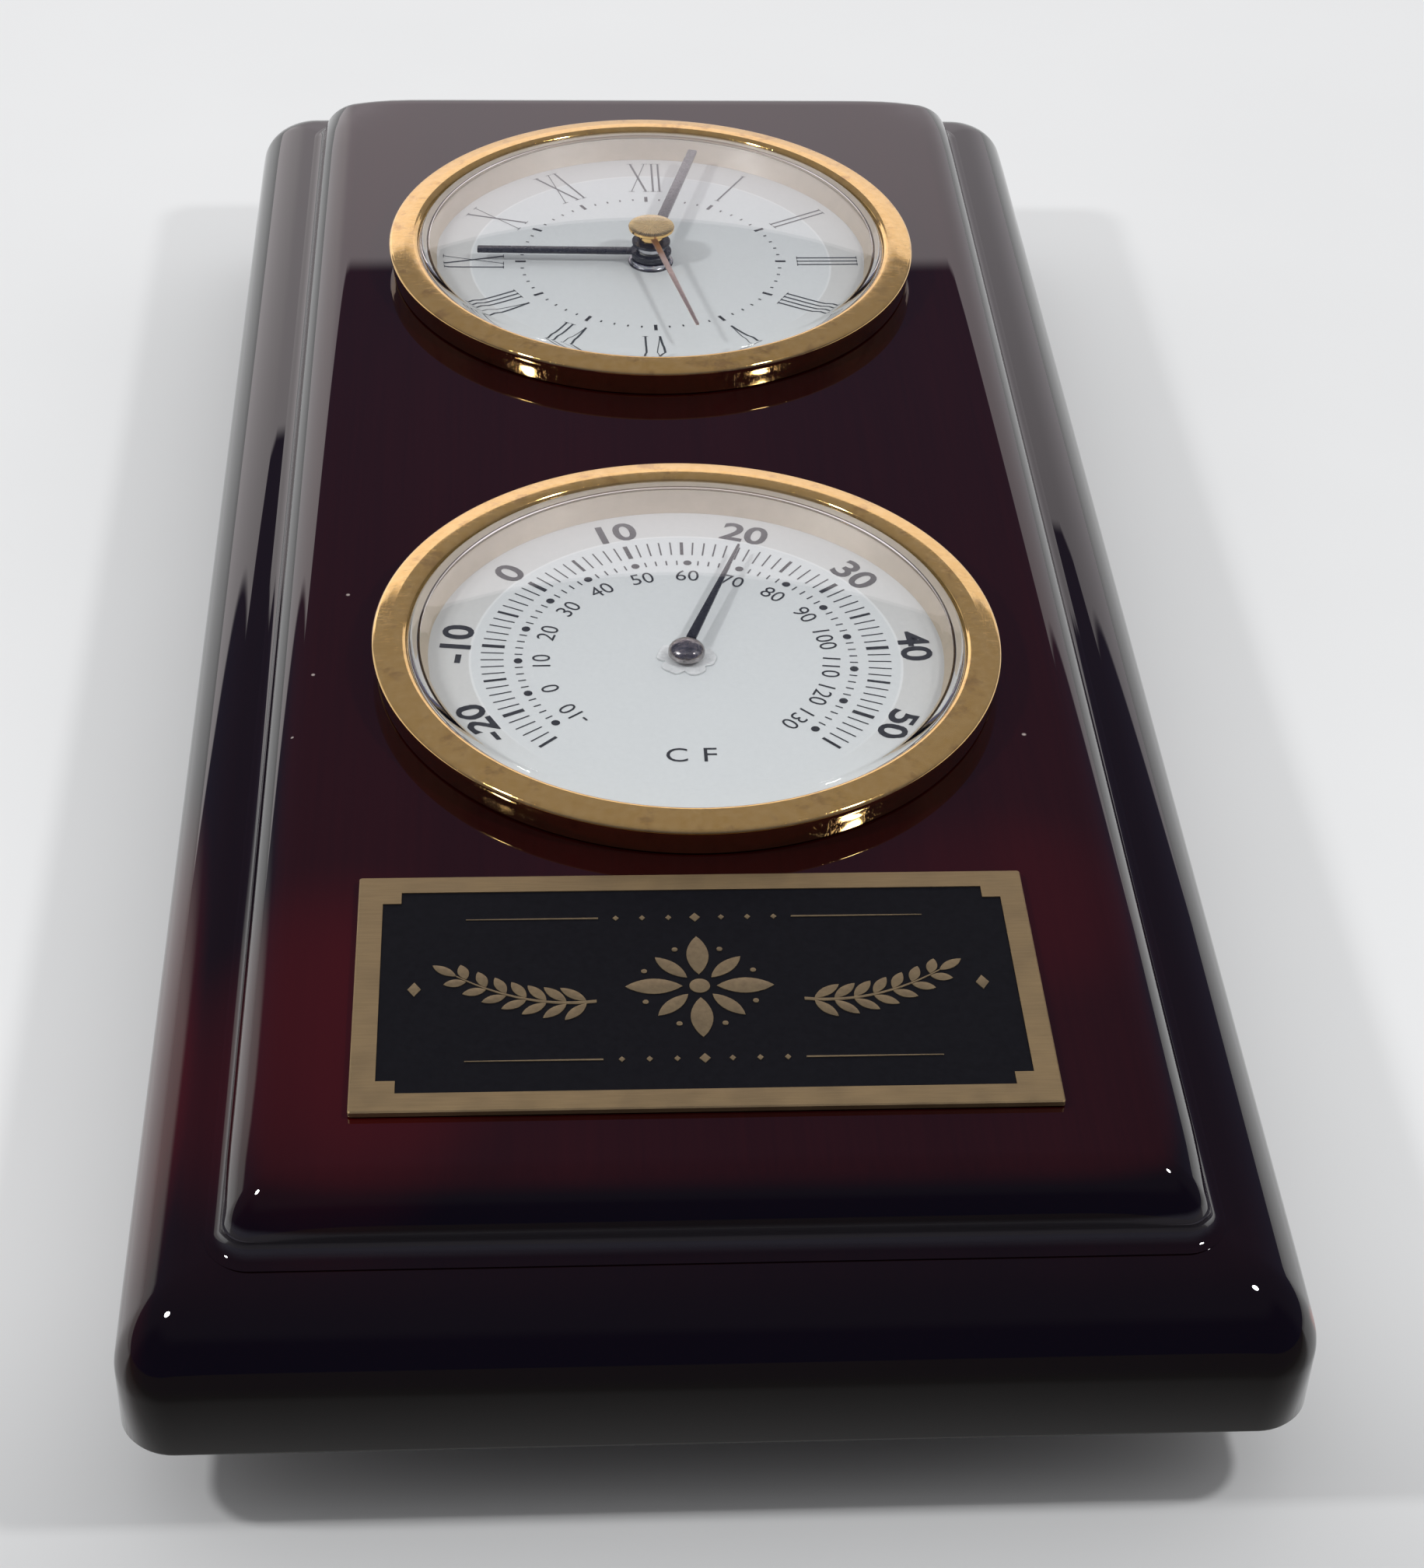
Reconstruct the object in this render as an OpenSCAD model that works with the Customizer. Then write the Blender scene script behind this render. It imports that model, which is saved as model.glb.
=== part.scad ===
// Clock and thermometer plaque: two wooden tiers with a quartz clock insert, a dial
// thermometer insert and a nameplate, lying on its back. X is across, +Y is the top
// end of the plaque, +Z is out of the dials. The origin is under the middle of the
// plaque, on the surface that it rests on.

/* [Wooden tiers] */
// Width of the base tier
base_w = 126.8; // [118:0.1:140]
// Height of the base tier, along Y
base_h = 278.8; // [240:0.1:300]
// Thickness of the base tier
base_t = 18.5; // [17.5:0.1:24]
// Corner radius of the base tier, seen from the front
base_corner_r = 6; // [2:0.1:14]
// Radius of the round along the base tier's front edge
base_edge_r = 10; // [2:0.1:10.4]
// Width of the step from the base tier to the front panel
tier_step = 11.4; // [10.4:0.1:14]
// Thickness of the front panel
panel_t = 7.2; // [5:0.1:10]
// Corner radius of the front panel, seen from the front
panel_corner_r = 3; // [1:0.1:8]
// Radius of the round along the front panel's edge
panel_edge_r = 4.4; // [1:0.1:4.8]

/* [Feet and hanger] */
// Height of a rubber foot
foot_h = 11; // [9:0.5:16]
// Diameter of a foot where it meets the board
foot_d = 18; // [14:0.5:22]
// Distance from the board's edges to the middle of a foot
foot_inset = 27; // [22:0.5:27.5]
// Width of the keyhole hanger plate
hanger_w = 46; // [42:0.5:60]
// Height of the keyhole hanger plate
hanger_h = 17; // [15:0.5:20]
// Thickness of the keyhole hanger plate
hanger_t = 1.2; // [0.8:0.1:2]
// Radius of the keyhole's round end
keyhole_r = 4.5; // [4:0.1:5]
// Width of the keyhole's slot
keyhole_slot_w = 4.6; // [3.6:0.1:5.4]

/* [Inserts] */
// Diameter of an insert's bezel
bezel_d = 79.4; // [78.6:0.1:84]
// Height of a bezel above the front panel
bezel_h = 4.1; // [4:0.1:5.5]
// How far a bezel reaches past the bore that takes its insert
bezel_reach = 3.2; // [2.7:0.1:3.4]
// Depth of an insert's case behind the front panel's face
case_depth = 18.7; // [18.5:0.1:22]
// Share of the panel's free height that lies above the clock
clock_gap_share = 0.3282; // [0.15:0.0001:0.34]
// Share of the panel's free height between the clock and the thermometer
dial_gap_share = 0.3963; // [0.3:0.0001:0.5]
// Share of the panel's free height between the thermometer and the nameplate
plate_gap_share = 0.0663; // [0.02:0.0001:0.15]
// Sideways place of the thermometer's centre
thermo_x = 0.6; // [-2:0.1:2]
// Height of the lens above its bezel
lens_rise = 3.9; // [3:0.1:6]
// Thickness of the lens
lens_t = 1.2; // [0.8:0.1:1.5]

/* [Nameplate] */
// Width of the nameplate
plate_w = 76.5; // [60:0.5:90]
// Height of the nameplate
plate_h = 38.4; // [24:0.2:42]
// Thickness of the nameplate
plate_t = 0.7; // [0.5:0.1:1.5]
// Width of the nameplate's border
border_w = 2.8; // [1.5:0.1:4]
// Sideways place of the nameplate's centre
plate_x = -0.9; // [-3:0.1:3]

/* [Clock] */
// Hour that the clock shows
shown_hour = 9; // [0:1:11]
// Minute that the clock shows
shown_minute = 2; // [0:1:59]
// Second that the clock shows
shown_second = 28; // [0:1:59]
// Gap from the hour hand's tip to the spacer ring
hour_tip_gap = 6.7; // [3:0.1:16]
// Gap from the minute hand's tip to the spacer ring
minute_tip_gap = 2.8; // [1:0.1:12]
// Gap from the second hand's tip to the spacer ring
second_tip_gap = 5.5; // [1:0.1:16]
// Width of the hour hand and the minute hand
hand_w = 1.7; // [1:0.1:2.4]
// Diameter of the cap on the second hand
hand_cap_d = 6.9; // [5:0.1:9]

/* [Thermometer] */
// Temperature that the thermometer shows, in degrees Celsius
shown_celsius = 20.4; // [-20:0.1:50]
// Degrees of turn for each degree Celsius
turn_per_celsius = 3.375; // [3:0.005:3.5]
// Gap from the pointer's tip to the spacer ring
pointer_tip_gap = 9.1; // [3:0.1:16]
// Diameter of the pointer's hub
pointer_hub_d = 4.66; // [3.6:0.02:6]
// Share of the bracket's half length that the bimetal coil fills
coil_share = 0.59; // [0.45:0.01:0.7]

/* [Hidden] */

$fn = 96;
// One overrun serves every cut, and one sliver every hulled outline
over = 0.5;
sliver = 0.02;
// Radial gap of a shaft in its bearing, and the axial gap beside a turning piece
run_fit = 0.05;
end_gap = 0.1;

// Wooden tiers
edge_steps = 8;
least_corner_r = 0.4;
back_chamfer = 0.6;
base_z = foot_h;
panel_z = base_z + base_t;
face_z = panel_z + panel_t;
bore_r = bezel_d / 2 - bezel_reach;
panel_w = base_w - 2 * tier_step;
panel_h = base_h - 2 * tier_step;
free_h = panel_h - 2 * bezel_d - plate_h;
clock_y = panel_h / 2 - clock_gap_share * free_h - bezel_d / 2;
thermo_y = clock_y - bezel_d - dial_gap_share * free_h;
plate_y = thermo_y - bezel_d / 2 - plate_gap_share * free_h - plate_h / 2;

// Feet, hanger and their screws
foot_draft = 1;
foot_low_r = foot_d / 2 - foot_draft;
foot_bore_r = 2.1;
foot_recess_r = 4;
foot_recess_h = 4.5;
foot_x = base_w / 2 - foot_inset;
foot_y = base_h / 2 - foot_inset;
screw_shank_r = 1.6;
screw_head_r = 3.2;
screw_head_h = 2;
screw_grip = 10;
slot_w = 0.8;
slot_depth = 0.7;
hanger_edge_gap = 15;
hanger_y = base_h / 2 - hanger_edge_gap;
hanger_corner_r = 2;
hanger_screw_inset = 5.5;
hanger_screw_x = hanger_w / 2 - hanger_screw_inset;
keyhole_height = 8;
keyhole_low = 3.5;
pocket_gap = 1;
pocket_depth = 7;

// Nameplate
adhesive_t = 0.2;
adhesive_inset = 2;
notch = 2.2;
field_depth = 0.15;

// Insert housing: case, spacer ring, lens and bezel, from the face of the panel
bezel_r = bezel_d / 2;
bezel_skin = 0.5;
bezel_foot_in = 0.6;
bezel_foot_gap = 0.15;
bezel_edge = 0.15;
bezel_crown = 0.32;
bezel_ridge_in = 3.3;
bezel_lip_in = 4.65;
bezel_lip_t = 0.6;
bezel_foot_r = bezel_r - bezel_foot_in;
bezel_lip_r = bezel_r - bezel_lip_in;
seat_r = bezel_foot_r - bezel_skin;
seat_gap = 0.2;
flange_t = 1.2;
lens_flange_t = 1;
lens_seat = bezel_h - bezel_lip_t + end_gap;
lens_low = lens_seat - lens_flange_t;
lens_r = bezel_lip_r - run_fit;
lens_wall_h = 1;
lens_dome_h = bezel_h + lens_rise - lens_seat - lens_wall_h;
lens_steps = 14;
case_gap = 0.5;
case_r = bore_r - case_gap;
case_wall = 1;
case_wall_low = 2.4;
case_back_t = 1.5;
dial_seat_r = case_r - case_wall;
case_in_r = case_r - case_wall_low;
dial_drop = 0.6;
dial_t = 0.8;
dial_r = dial_seat_r - end_gap;
spacer_in_r = dial_seat_r - 2 * case_wall;
spacer_out_r = bezel_lip_r + end_gap;
gasket_top = 3;
gasket_h = 5;
gasket_groove = 1;
dial_z = face_z - dial_drop;
dial_back_z = dial_z - dial_t;
case_back_z = face_z - case_depth;
case_floor_z = case_back_z + case_back_t;

// Movement plates, listed from the dial down; each wheel has its level
movement_half = 19.5;
movement_wall = 1;
movement_corner_r = 4;
works_plate_t = 1.2;
wheel_t = 0.6;
level_height = 1;
front_under_z = dial_back_z - works_plate_t;
hour_level = 1;
minute_level = 2;
center_level = 3;
middle_level = 4;
third_level = 5;
seconds_level = 6;
intermediate_level = 7;
rotor_level = 8;
magnet_t = 1.8;
magnet_r = 2;
split_z = level_z(third_level);
magnet_gap = 2.6;
back_top_z = level_z(rotor_level) - magnet_t - magnet_gap;
back_z = back_top_z - works_plate_t;
post_inset = 3.6;
post_at = movement_half - post_inset;
post_r = 1.6;
post_screw_r = 0.6;
post_screw_head_r = 1.3;
post_screw_head_h = 0.7;
post_screw_end = 1.5;
post_screw_l = front_under_z - back_z - post_screw_end - post_screw_head_h;

// Shafts and tubes on the hands' axis
arbor_r = 0.4;
bearing_r = arbor_r + run_fit;
center_tube_r = 1;
hour_tube_in_r = center_tube_r + run_fit;
hour_tube_r = 1.7;
bushing_in_r = hour_tube_r + run_fit;
bushing_r = 2.6;
bushing_height = 0.7;
nut_r = 3.4;
nut_h = 0.8;
knob_shaft_r = 1;
knob_r = 4.5;
knob_h = 2.6;
knob_grips = 12;
knob_grip_r = 0.7;
knob_hole_r = knob_shaft_r + run_fit;
stud_r = 0.5;

// Hands, from the dial up
hour_hand_height = 1.6;
minute_hand_height = 3.2;
second_hand_height = 4.5;
hand_t = 0.4;
hour_disc_r = 3.1;
hour_collar_r = 2.9;
hour_collar_height = 0.95;
minute_disc_r = 2.9;
minute_collar_r = 2.3;
minute_collar_height = 2.3;
cap_stem_r = 1.9;
cap_stem_height = 3.9;
cap_disc_height = 5.5;
cap_t = 0.6;
second_root_w = 1;
second_tip_w = 0.5;
hour_hand_l = spacer_in_r - hour_tip_gap;
minute_hand_l = spacer_in_r - minute_tip_gap;
second_hand_l = spacer_in_r - second_tip_gap;
second_turn = 6 * shown_second;
minute_turn = 6 * (shown_minute + shown_second / 60);
hour_turn = 30 * (shown_hour + minute_turn / 360);

// Gear train: teeth, and the distances and directions between the shafts
cannon_teeth = 8;
minute_teeth = 24;
minute_pinion_teeth = 8;
hour_teeth = 32;
knob_teeth = 8;
seconds_pinion_teeth = 6;
third_teeth = 45;
third_pinion_teeth = 6;
center_teeth = 48;
rotor_teeth = 6;
intermediate_teeth = 30;
intermediate_pinion_teeth = 6;
seconds_teeth = 36;
third_distance = 8.5;
minute_distance = 6;
intermediate_distance = 7;
rotor_distance = 4.8;
third_way = 210;
minute_way = 90;
knob_way = 60;
intermediate_way = -40;
rotor_way = -100;
hub_share = 0.3;
// Tooth outline, as shares of the module and of the tooth pitch
addendum_share = 0.7;
dedendum_share = 1.05;
tip_half_share = 0.07;
root_half_share = 0.25;
third_at = polar(third_distance, third_way);
minute_at = polar(minute_distance, minute_way);
knob_at = minute_at + polar(minute_distance, knob_way);
intermediate_at = polar(intermediate_distance, intermediate_way);
rotor_at = intermediate_at + polar(rotor_distance, rotor_way);

// Coil, stator and circuit
stator_t = 0.6;
stator_hole_r = 2.4;
stator_left = -10;
stator_right = 12;
stator_leg_w = 3.5;
stator_far = -17.5;
stator_bar_low = -12.8;
stator_bar_top = -5.6;
stator_z = level_z(rotor_level) - magnet_t / 2 - stator_t / 2;
core_w = 2.6;
core_y = stator_far + stator_leg_w / 2;
core_z = stator_z - stator_t;
coil_r = 2;
bobbin_r = 2.3;
bobbin_wall = 0.5;
bobbin_tube_r = 1.45;
bobbin_gap = 0.5;
bobbin_left = stator_left + stator_leg_w + bobbin_gap;
bobbin_right = stator_right - stator_leg_w - bobbin_gap;
stator_post_r = 1;
stator_post_y = (stator_bar_low + stator_bar_top) / 2;
board_low = [6, 2.5];
board_high = [13.8, 17.5];
board_t = 0.8;
board_post_h = 0.6;
board_post_r = 1.2;
board_post_shares = [[0.2, 0.15], [0.8, 0.9]];
board_z = back_top_z + board_post_h;
chip_r = 2;
chip_h = 0.8;
crystal_r = 1;
crystal_l = 6;
crystal_sink = 0.1;

// Battery, its contacts and its cover
battery_r = 5.8;
battery_t = 5.4;
battery_rim_r = 5;
battery_rim_t = 0.4;
battery_at = [-10.5, 10];
bay_gap = 0.2;
bay_r = battery_r + bay_gap;
contact_t = 0.3;
contact_w = 2;
battery_low_z = case_floor_z + contact_t;
battery_top_z = battery_low_z + battery_t;
strip_top_y = battery_at.y + battery_rim_r;
strip_side_y = battery_at.y - battery_r / 2;
cover_r = 8;
cover_t = 1.4;
cover_out = 0.1;
lug_out = 1.4;
lug_t = 0.7;
lug_sweep = 36;
entry_sweep = 44;
cover_turn = 60;
coin_slot_l = 11;
coin_slot_w = 1.6;
coin_slot_depth = 0.6;

// Thermometer works
vent_count = 6;
vent_r = 3;
vent_ring_share = 0.62;
strap_end_gap = 11.6;
strap_l = 2 * (case_in_r - strap_end_gap);
strap_w = 10;
strap_t = 0.8;
strap_drop = 6.8;
strap_z = dial_back_z - strap_drop;
strap_foot = 4;
coil_outer_r = coil_share * strap_l / 2;
coil_inner_r = 1.7;
coil_turns = 5;
coil_steps = 24;
coil_strip_t = 0.35;
coil_strip_w = 3;
coil_gap = 1.6;
coil_low_z = strap_z + coil_gap;
coil_post_r = 0.8;
thermo_arbor_r = 0.6;
collet_r = coil_inner_r - coil_strip_t / 2 - run_fit;
dial_hole_r = 0.75;
washer_r = 3.8;
washer_t = 0.25;
washer_notches = 5;
washer_notch_r = 0.9;
hub_low_height = 0.75;
hub_top_height = 2.5;
pointer_height = 1.8;
pointer_t = 0.3;
pointer_l = spacer_in_r - pointer_tip_gap;
pointer_root_w = 1.3;
pointer_tip_w = 0.4;
middle_degrees = 15;
scale_angle = 1.2;
pointer_turn = scale_angle + turn_per_celsius * (shown_celsius - middle_degrees);

black = [0.06, 0.06, 0.065];
gold = [0.86, 0.66, 0.28];
brass = [0.76, 0.62, 0.34];
steel = [0.72, 0.73, 0.75];
lacquer = [0.13, 0.045, 0.05];
cream = [0.93, 0.92, 0.9];
nylon = [0.88, 0.87, 0.82];
copper = [0.72, 0.4, 0.22];
rubber = [0.09, 0.09, 0.09];
clear = [0.85, 0.9, 0.95, 0.3];

// A point at a distance and a direction from the origin
function polar(distance, way) = distance * [cos(way), sin(way)];

// Height of the under side of the wheels on one level of the movement
function level_z(level) = front_under_z - level * level_height;

// Module of a pair of gears from the distance between their shafts
function pair_module(distance, first, second) = 2 * distance / (first + second);

// Outline of a toothed wheel: root, tip, tip and root of each tooth in turn
function gear_points(teeth, size) = [
    for (i = [0 : teeth - 1])
        for (corner = [
            [-root_half_share, -dedendum_share], [-tip_half_share, addendum_share],
            [tip_half_share, addendum_share], [root_half_share, -dedendum_share]
        ])
            polar(size * (teeth / 2 + corner[1]), 360 / teeth * (i + corner[0]))
];

// Corners of the nameplate's field, with a square step cut into each
function field_points(w, h, step) = [
    for (corner = [[1, 1], [-1, 1], [-1, -1], [1, -1]])
        for (way = corner.x == corner.y ? [[0, 1], [1, 1], [1, 0]] : [[1, 0], [1, 1], [0, 1]])
            [corner.x * (w / 2 - step * way.x), corner.y * (h / 2 - step * way.y)]
];

// Height of the lens's outer face above its edge, at a distance from the axis
function dome(r, rise) =
    let (sphere_r = (lens_r * lens_r + rise * rise) / (2 * rise))
        sqrt(sphere_r * sphere_r - r * r) - (sphere_r - rise);

module at_clock() {
    translate([0, clock_y, 0])
        children();
}

module at_thermo() {
    translate([thermo_x, thermo_y, 0])
        children();
}

module at_rectangle(x, y) {
    for (side = [-1, 1], end = [-1, 1])
        translate([side * x, end * y, 0])
            children();
}

module plan_corners(w, h, r) {
    at_rectangle(w / 2 - r, h / 2 - r)
        circle(r, $fn = 32);
}

// A board with rounded corners, a round along its front edge and a softened back edge
module eased_board(w, h, t, corner_r, edge_r, chamfer) {
    stations = concat(
        [[chamfer, 0], [0, chamfer]],
        [for (i = [0 : edge_steps])
            let (a = 90 * i / edge_steps)
                [edge_r * (1 - cos(a)), t - edge_r * (1 - sin(a)) - sliver]]
    );
    hull()
        for (station = stations)
            translate([0, 0, station[1]])
                linear_extrude(sliver)
                    plan_corners(w - 2 * station[0], h - 2 * station[0],
                        max(corner_r - station[0], least_corner_r));
}

module plate_square(half, r) {
    square([2 * half, 2 * (half - r)], center = true);
    square([2 * (half - r), 2 * half], center = true);
    at_rectangle(half - r, half - r)
        circle(r);
}

module bar(low, high) {
    translate(low)
        cube(high - low);
}

// A screw with its head's outer face at the origin and its shank along +Z
module screw(shank_r, shank_l, head_r, head_h) {
    difference() {
        union() {
            cylinder(h = head_h, r = head_r);
            cylinder(h = head_h + shank_l, r = shank_r);
        }
        translate([-head_r - over, -slot_w / 2 * head_r / screw_head_r, -over])
            cube([2 * (head_r + over), slot_w * head_r / screw_head_r,
                slot_depth * head_h / screw_head_h + over]);
    }
}

// Wooden tiers

module insert_bores(low, high) {
    at_clock()
        translate([0, 0, low - over])
            cylinder(h = high - low + 2 * over, r = bore_r);
    at_thermo()
        translate([0, 0, low - over])
            cylinder(h = high - low + 2 * over, r = bore_r);
}

module base_board() {
    color(lacquer)
        difference() {
            translate([0, 0, base_z])
                eased_board(base_w, base_h, base_t, base_corner_r, base_edge_r, back_chamfer);
            insert_bores(base_z, panel_z);
            at_rectangle(foot_x, foot_y)
                translate([0, 0, base_z - over])
                    cylinder(h = screw_grip + over, r = screw_shank_r);
            translate([0, hanger_y, 0]) {
                hanger_pocket();
                for (side = [-1, 1])
                    translate([side * hanger_screw_x, 0, base_z])
                        cylinder(h = screw_grip + hanger_t, r = screw_shank_r);
            }
        }
}

// Seat of the hanger plate and the room behind its keyhole
module hanger_pocket() {
    translate([0, 0, base_z - over])
        linear_extrude(hanger_t + over)
            hanger_outline();
    translate([0, 0, base_z])
        linear_extrude(hanger_t + pocket_depth)
            keyhole(keyhole_r + pocket_gap, 2 * keyhole_r);
}

module front_panel() {
    color(lacquer)
        difference() {
            translate([0, 0, panel_z])
                eased_board(panel_w, panel_h, panel_t, panel_corner_r, panel_edge_r, sliver);
            insert_bores(panel_z, face_z);
        }
}

module at_plate() {
    translate([plate_x, plate_y, face_z])
        children();
}

module nameplate() {
    color(brass)
        at_plate()
            translate([0, 0, adhesive_t])
                difference() {
                    translate([-plate_w / 2, -plate_h / 2, 0])
                        cube([plate_w, plate_h, plate_t]);
                    translate([0, 0, plate_t - field_depth])
                        linear_extrude(field_depth + over)
                            polygon(field_points(plate_w - 2 * border_w, plate_h - 2 * border_w, notch));
                }
}

module nameplate_adhesive() {
    inset_w = plate_w - 2 * adhesive_inset;
    inset_h = plate_h - 2 * adhesive_inset;
    color(nylon)
        at_plate()
            translate([-inset_w / 2, -inset_h / 2, 0])
                cube([inset_w, inset_h, adhesive_t]);
}

// Feet and hanger

module hanger_outline() {
    square([hanger_w, hanger_h - 2 * hanger_corner_r], center = true);
    square([hanger_w - 2 * hanger_corner_r, hanger_h], center = true);
    at_rectangle(hanger_w / 2 - hanger_corner_r, hanger_h / 2 - hanger_corner_r)
        circle(hanger_corner_r);
}

module keyhole(head_r, slot) {
    translate([0, -keyhole_low])
        circle(head_r);
    translate([-slot / 2, -keyhole_low])
        square([slot, keyhole_height]);
    translate([0, keyhole_height - keyhole_low])
        circle(slot / 2);
}

module hanger_plate() {
    color(steel)
        translate([0, hanger_y, base_z])
            difference() {
                linear_extrude(hanger_t)
                    hanger_outline();
                translate([0, 0, -over])
                    linear_extrude(hanger_t + 2 * over)
                        keyhole(keyhole_r, keyhole_slot_w);
                for (side = [-1, 1])
                    translate([side * hanger_screw_x, 0, -over])
                        cylinder(h = hanger_t + 2 * over, r = screw_shank_r);
            }
}

module hanger_screws() {
    color(steel)
        for (side = [-1, 1])
            translate([side * hanger_screw_x, hanger_y, base_z - screw_head_h])
                screw(screw_shank_r, screw_grip, screw_head_r, screw_head_h);
}

module rubber_feet() {
    color(rubber)
        at_rectangle(foot_x, foot_y)
            difference() {
                cylinder(h = foot_h, r1 = foot_low_r, r2 = foot_d / 2);
                translate([0, 0, -over])
                    cylinder(h = foot_recess_h + over, r = foot_recess_r);
                cylinder(h = foot_h + over, r = foot_bore_r);
            }
}

module foot_screws() {
    color(steel)
        at_rectangle(foot_x, foot_y)
            translate([0, 0, foot_recess_h - screw_head_h])
                screw(screw_shank_r, foot_h - foot_recess_h + screw_grip, screw_head_r, screw_head_h);
}

// Insert housing, the same for the clock and the thermometer

module insert_case() {
    groove_r = case_r - gasket_groove;
    rotate_extrude()
        polygon([
            [0, case_back_z], [case_r, case_back_z],
            [case_r, face_z - gasket_top - gasket_h], [groove_r, face_z - gasket_top - gasket_h],
            [groove_r, face_z - gasket_top], [case_r, face_z - gasket_top],
            [case_r, face_z], [seat_r, face_z], [seat_r, face_z + flange_t],
            [dial_seat_r, face_z + flange_t], [dial_seat_r, dial_back_z],
            [case_in_r, dial_back_z], [case_in_r, case_floor_z], [0, case_floor_z],
        ]);
}

module insert_gasket() {
    rib = (bore_r - case_r) / 2;
    grip = case_gap - run_fit;
    rotate_extrude()
        translate([case_r - gasket_groove, face_z - gasket_top - gasket_h])
            polygon([
                [0, 0], [gasket_groove + rib, 0], [gasket_groove + grip, gasket_h / 4],
                [gasket_groove + rib, gasket_h / 2], [gasket_groove + grip, gasket_h * 3 / 4],
                [gasket_groove + rib, gasket_h], [0, gasket_h],
            ]);
}

module insert_bezel() {
    top = face_z + bezel_h;
    skin_r = seat_r + run_fit;
    rotate_extrude()
        polygon([
            [skin_r, face_z + bezel_foot_gap], [bezel_foot_r, face_z + bezel_foot_gap],
            [bezel_r, top - bezel_edge], [bezel_r - bezel_edge, top],
            [bezel_r - bezel_ridge_in, top + bezel_crown], [bezel_lip_r, top + end_gap],
            [bezel_lip_r, face_z + lens_seat], [skin_r, face_z + lens_seat],
        ]);
}

module insert_lens() {
    wall_top = face_z + lens_seat + lens_wall_h;
    in_r = lens_r - lens_t;
    rotate_extrude()
        polygon(concat(
            [for (i = [0 : lens_steps])
                let (r = lens_r * (1 - i / lens_steps)) [r, wall_top + dome(r, lens_dome_h)]],
            [for (i = [0 : lens_steps])
                let (r = in_r * i / lens_steps) [r, wall_top - lens_t + dome(r, lens_dome_h)]],
            [[in_r, face_z + lens_low], [seat_r - seat_gap, face_z + lens_low],
                [seat_r - seat_gap, face_z + lens_seat], [lens_r, face_z + lens_seat]]
        ));
}

module insert_spacer() {
    rotate_extrude()
        polygon([
            [spacer_in_r, dial_z], [dial_r, dial_z], [dial_r, face_z + flange_t],
            [seat_r - seat_gap, face_z + flange_t], [seat_r - seat_gap, face_z + lens_low],
            [spacer_out_r, face_z + lens_low],
        ]);
}

module insert_dial(hole_r) {
    translate([0, 0, dial_back_z])
        difference() {
            cylinder(h = dial_t, r = dial_r);
            translate([0, 0, -over])
                cylinder(h = dial_t + 2 * over, r = hole_r);
        }
}

// Clock insert

module clock_case() {
    color(black)
        at_clock()
            difference() {
                insert_case();
                translate([knob_at.x, knob_at.y, case_back_z - over])
                    cylinder(h = case_back_t + 2 * over, r = knob_hole_r);
                translate([battery_at.x, battery_at.y, case_back_z - over]) {
                    cylinder(h = case_back_t + 2 * over, r = cover_r + end_gap);
                    rotate([0, 0, -cover_turn])
                        lug_pair(case_back_t + 2 * over, cover_r + lug_out + end_gap, entry_sweep);
                }
            }
}

// Two opposite sectors of a ring, centred on the X axis
module lug_pair(h, r, sweep) {
    for (side = [0, 180])
        rotate([0, 0, side - sweep / 2])
            rotate_extrude(angle = sweep)
                translate([cover_r / 2, 0])
                    square([r - cover_r / 2, h]);
}

module clock_gasket() {
    color(rubber)
        at_clock()
            insert_gasket();
}

module clock_bezel() {
    color(gold)
        at_clock()
            insert_bezel();
}

module clock_lens() {
    color(clear)
        at_clock()
            insert_lens();
}

module clock_spacer() {
    color(cream)
        at_clock()
            insert_spacer();
}

module clock_dial() {
    color(cream)
        at_clock()
            insert_dial(bushing_r + run_fit);
}

// Movement: plates, circuit and motor

module shaft_holes(low, high, places, r) {
    for (place = places)
        translate([place.x, place.y, low - over])
            cylinder(h = high - low + 2 * over, r = r);
}

module housing_wall(low, high) {
    translate([0, 0, low])
        linear_extrude(high - low)
            difference() {
                plate_square(movement_half, movement_corner_r);
                plate_square(movement_half - movement_wall, movement_corner_r - movement_wall);
            }
}

module movement_front() {
    color(nylon)
        at_clock() {
            difference() {
                union() {
                    translate([0, 0, front_under_z])
                        linear_extrude(works_plate_t)
                            plate_square(movement_half, movement_corner_r);
                    translate([0, 0, front_under_z])
                        cylinder(h = dial_z + bushing_height - front_under_z, r = bushing_r);
                }
                shaft_holes(front_under_z, dial_z + bushing_height, [[0, 0]], bushing_in_r);
                shaft_holes(front_under_z, dial_back_z, [third_at], bearing_r);
                shaft_holes(front_under_z, dial_back_z, [knob_at], knob_hole_r);
            }
            housing_wall(split_z, front_under_z);
            translate([minute_at.x, minute_at.y, level_z(minute_level) - end_gap])
                cylinder(h = front_under_z - level_z(minute_level) + end_gap, r = stud_r);
            at_rectangle(post_at, post_at)
                translate([0, 0, level_z(middle_level) + wheel_t])
                    difference() {
                        post_h = front_under_z - level_z(middle_level) - wheel_t;
                        cylinder(h = post_h, r = post_r);
                        translate([0, 0, -over])
                            cylinder(h = post_h + over, r = post_screw_r);
                    }
        }
}

module middle_plate() {
    low = level_z(middle_level);
    half = movement_half - movement_wall - end_gap;
    color(steel)
        at_clock()
            difference() {
                translate([0, 0, low])
                    linear_extrude(wheel_t)
                        plate_square(half, movement_corner_r - movement_wall);
                shaft_holes(low, low + wheel_t, [[0, 0], third_at, intermediate_at, rotor_at], bearing_r);
                shaft_holes(low, low + wheel_t, [knob_at], knob_hole_r);
                at_rectangle(post_at, post_at)
                    translate([0, 0, low - over])
                        cylinder(h = wheel_t + 2 * over, r = post_screw_r);
            }
}

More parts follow.
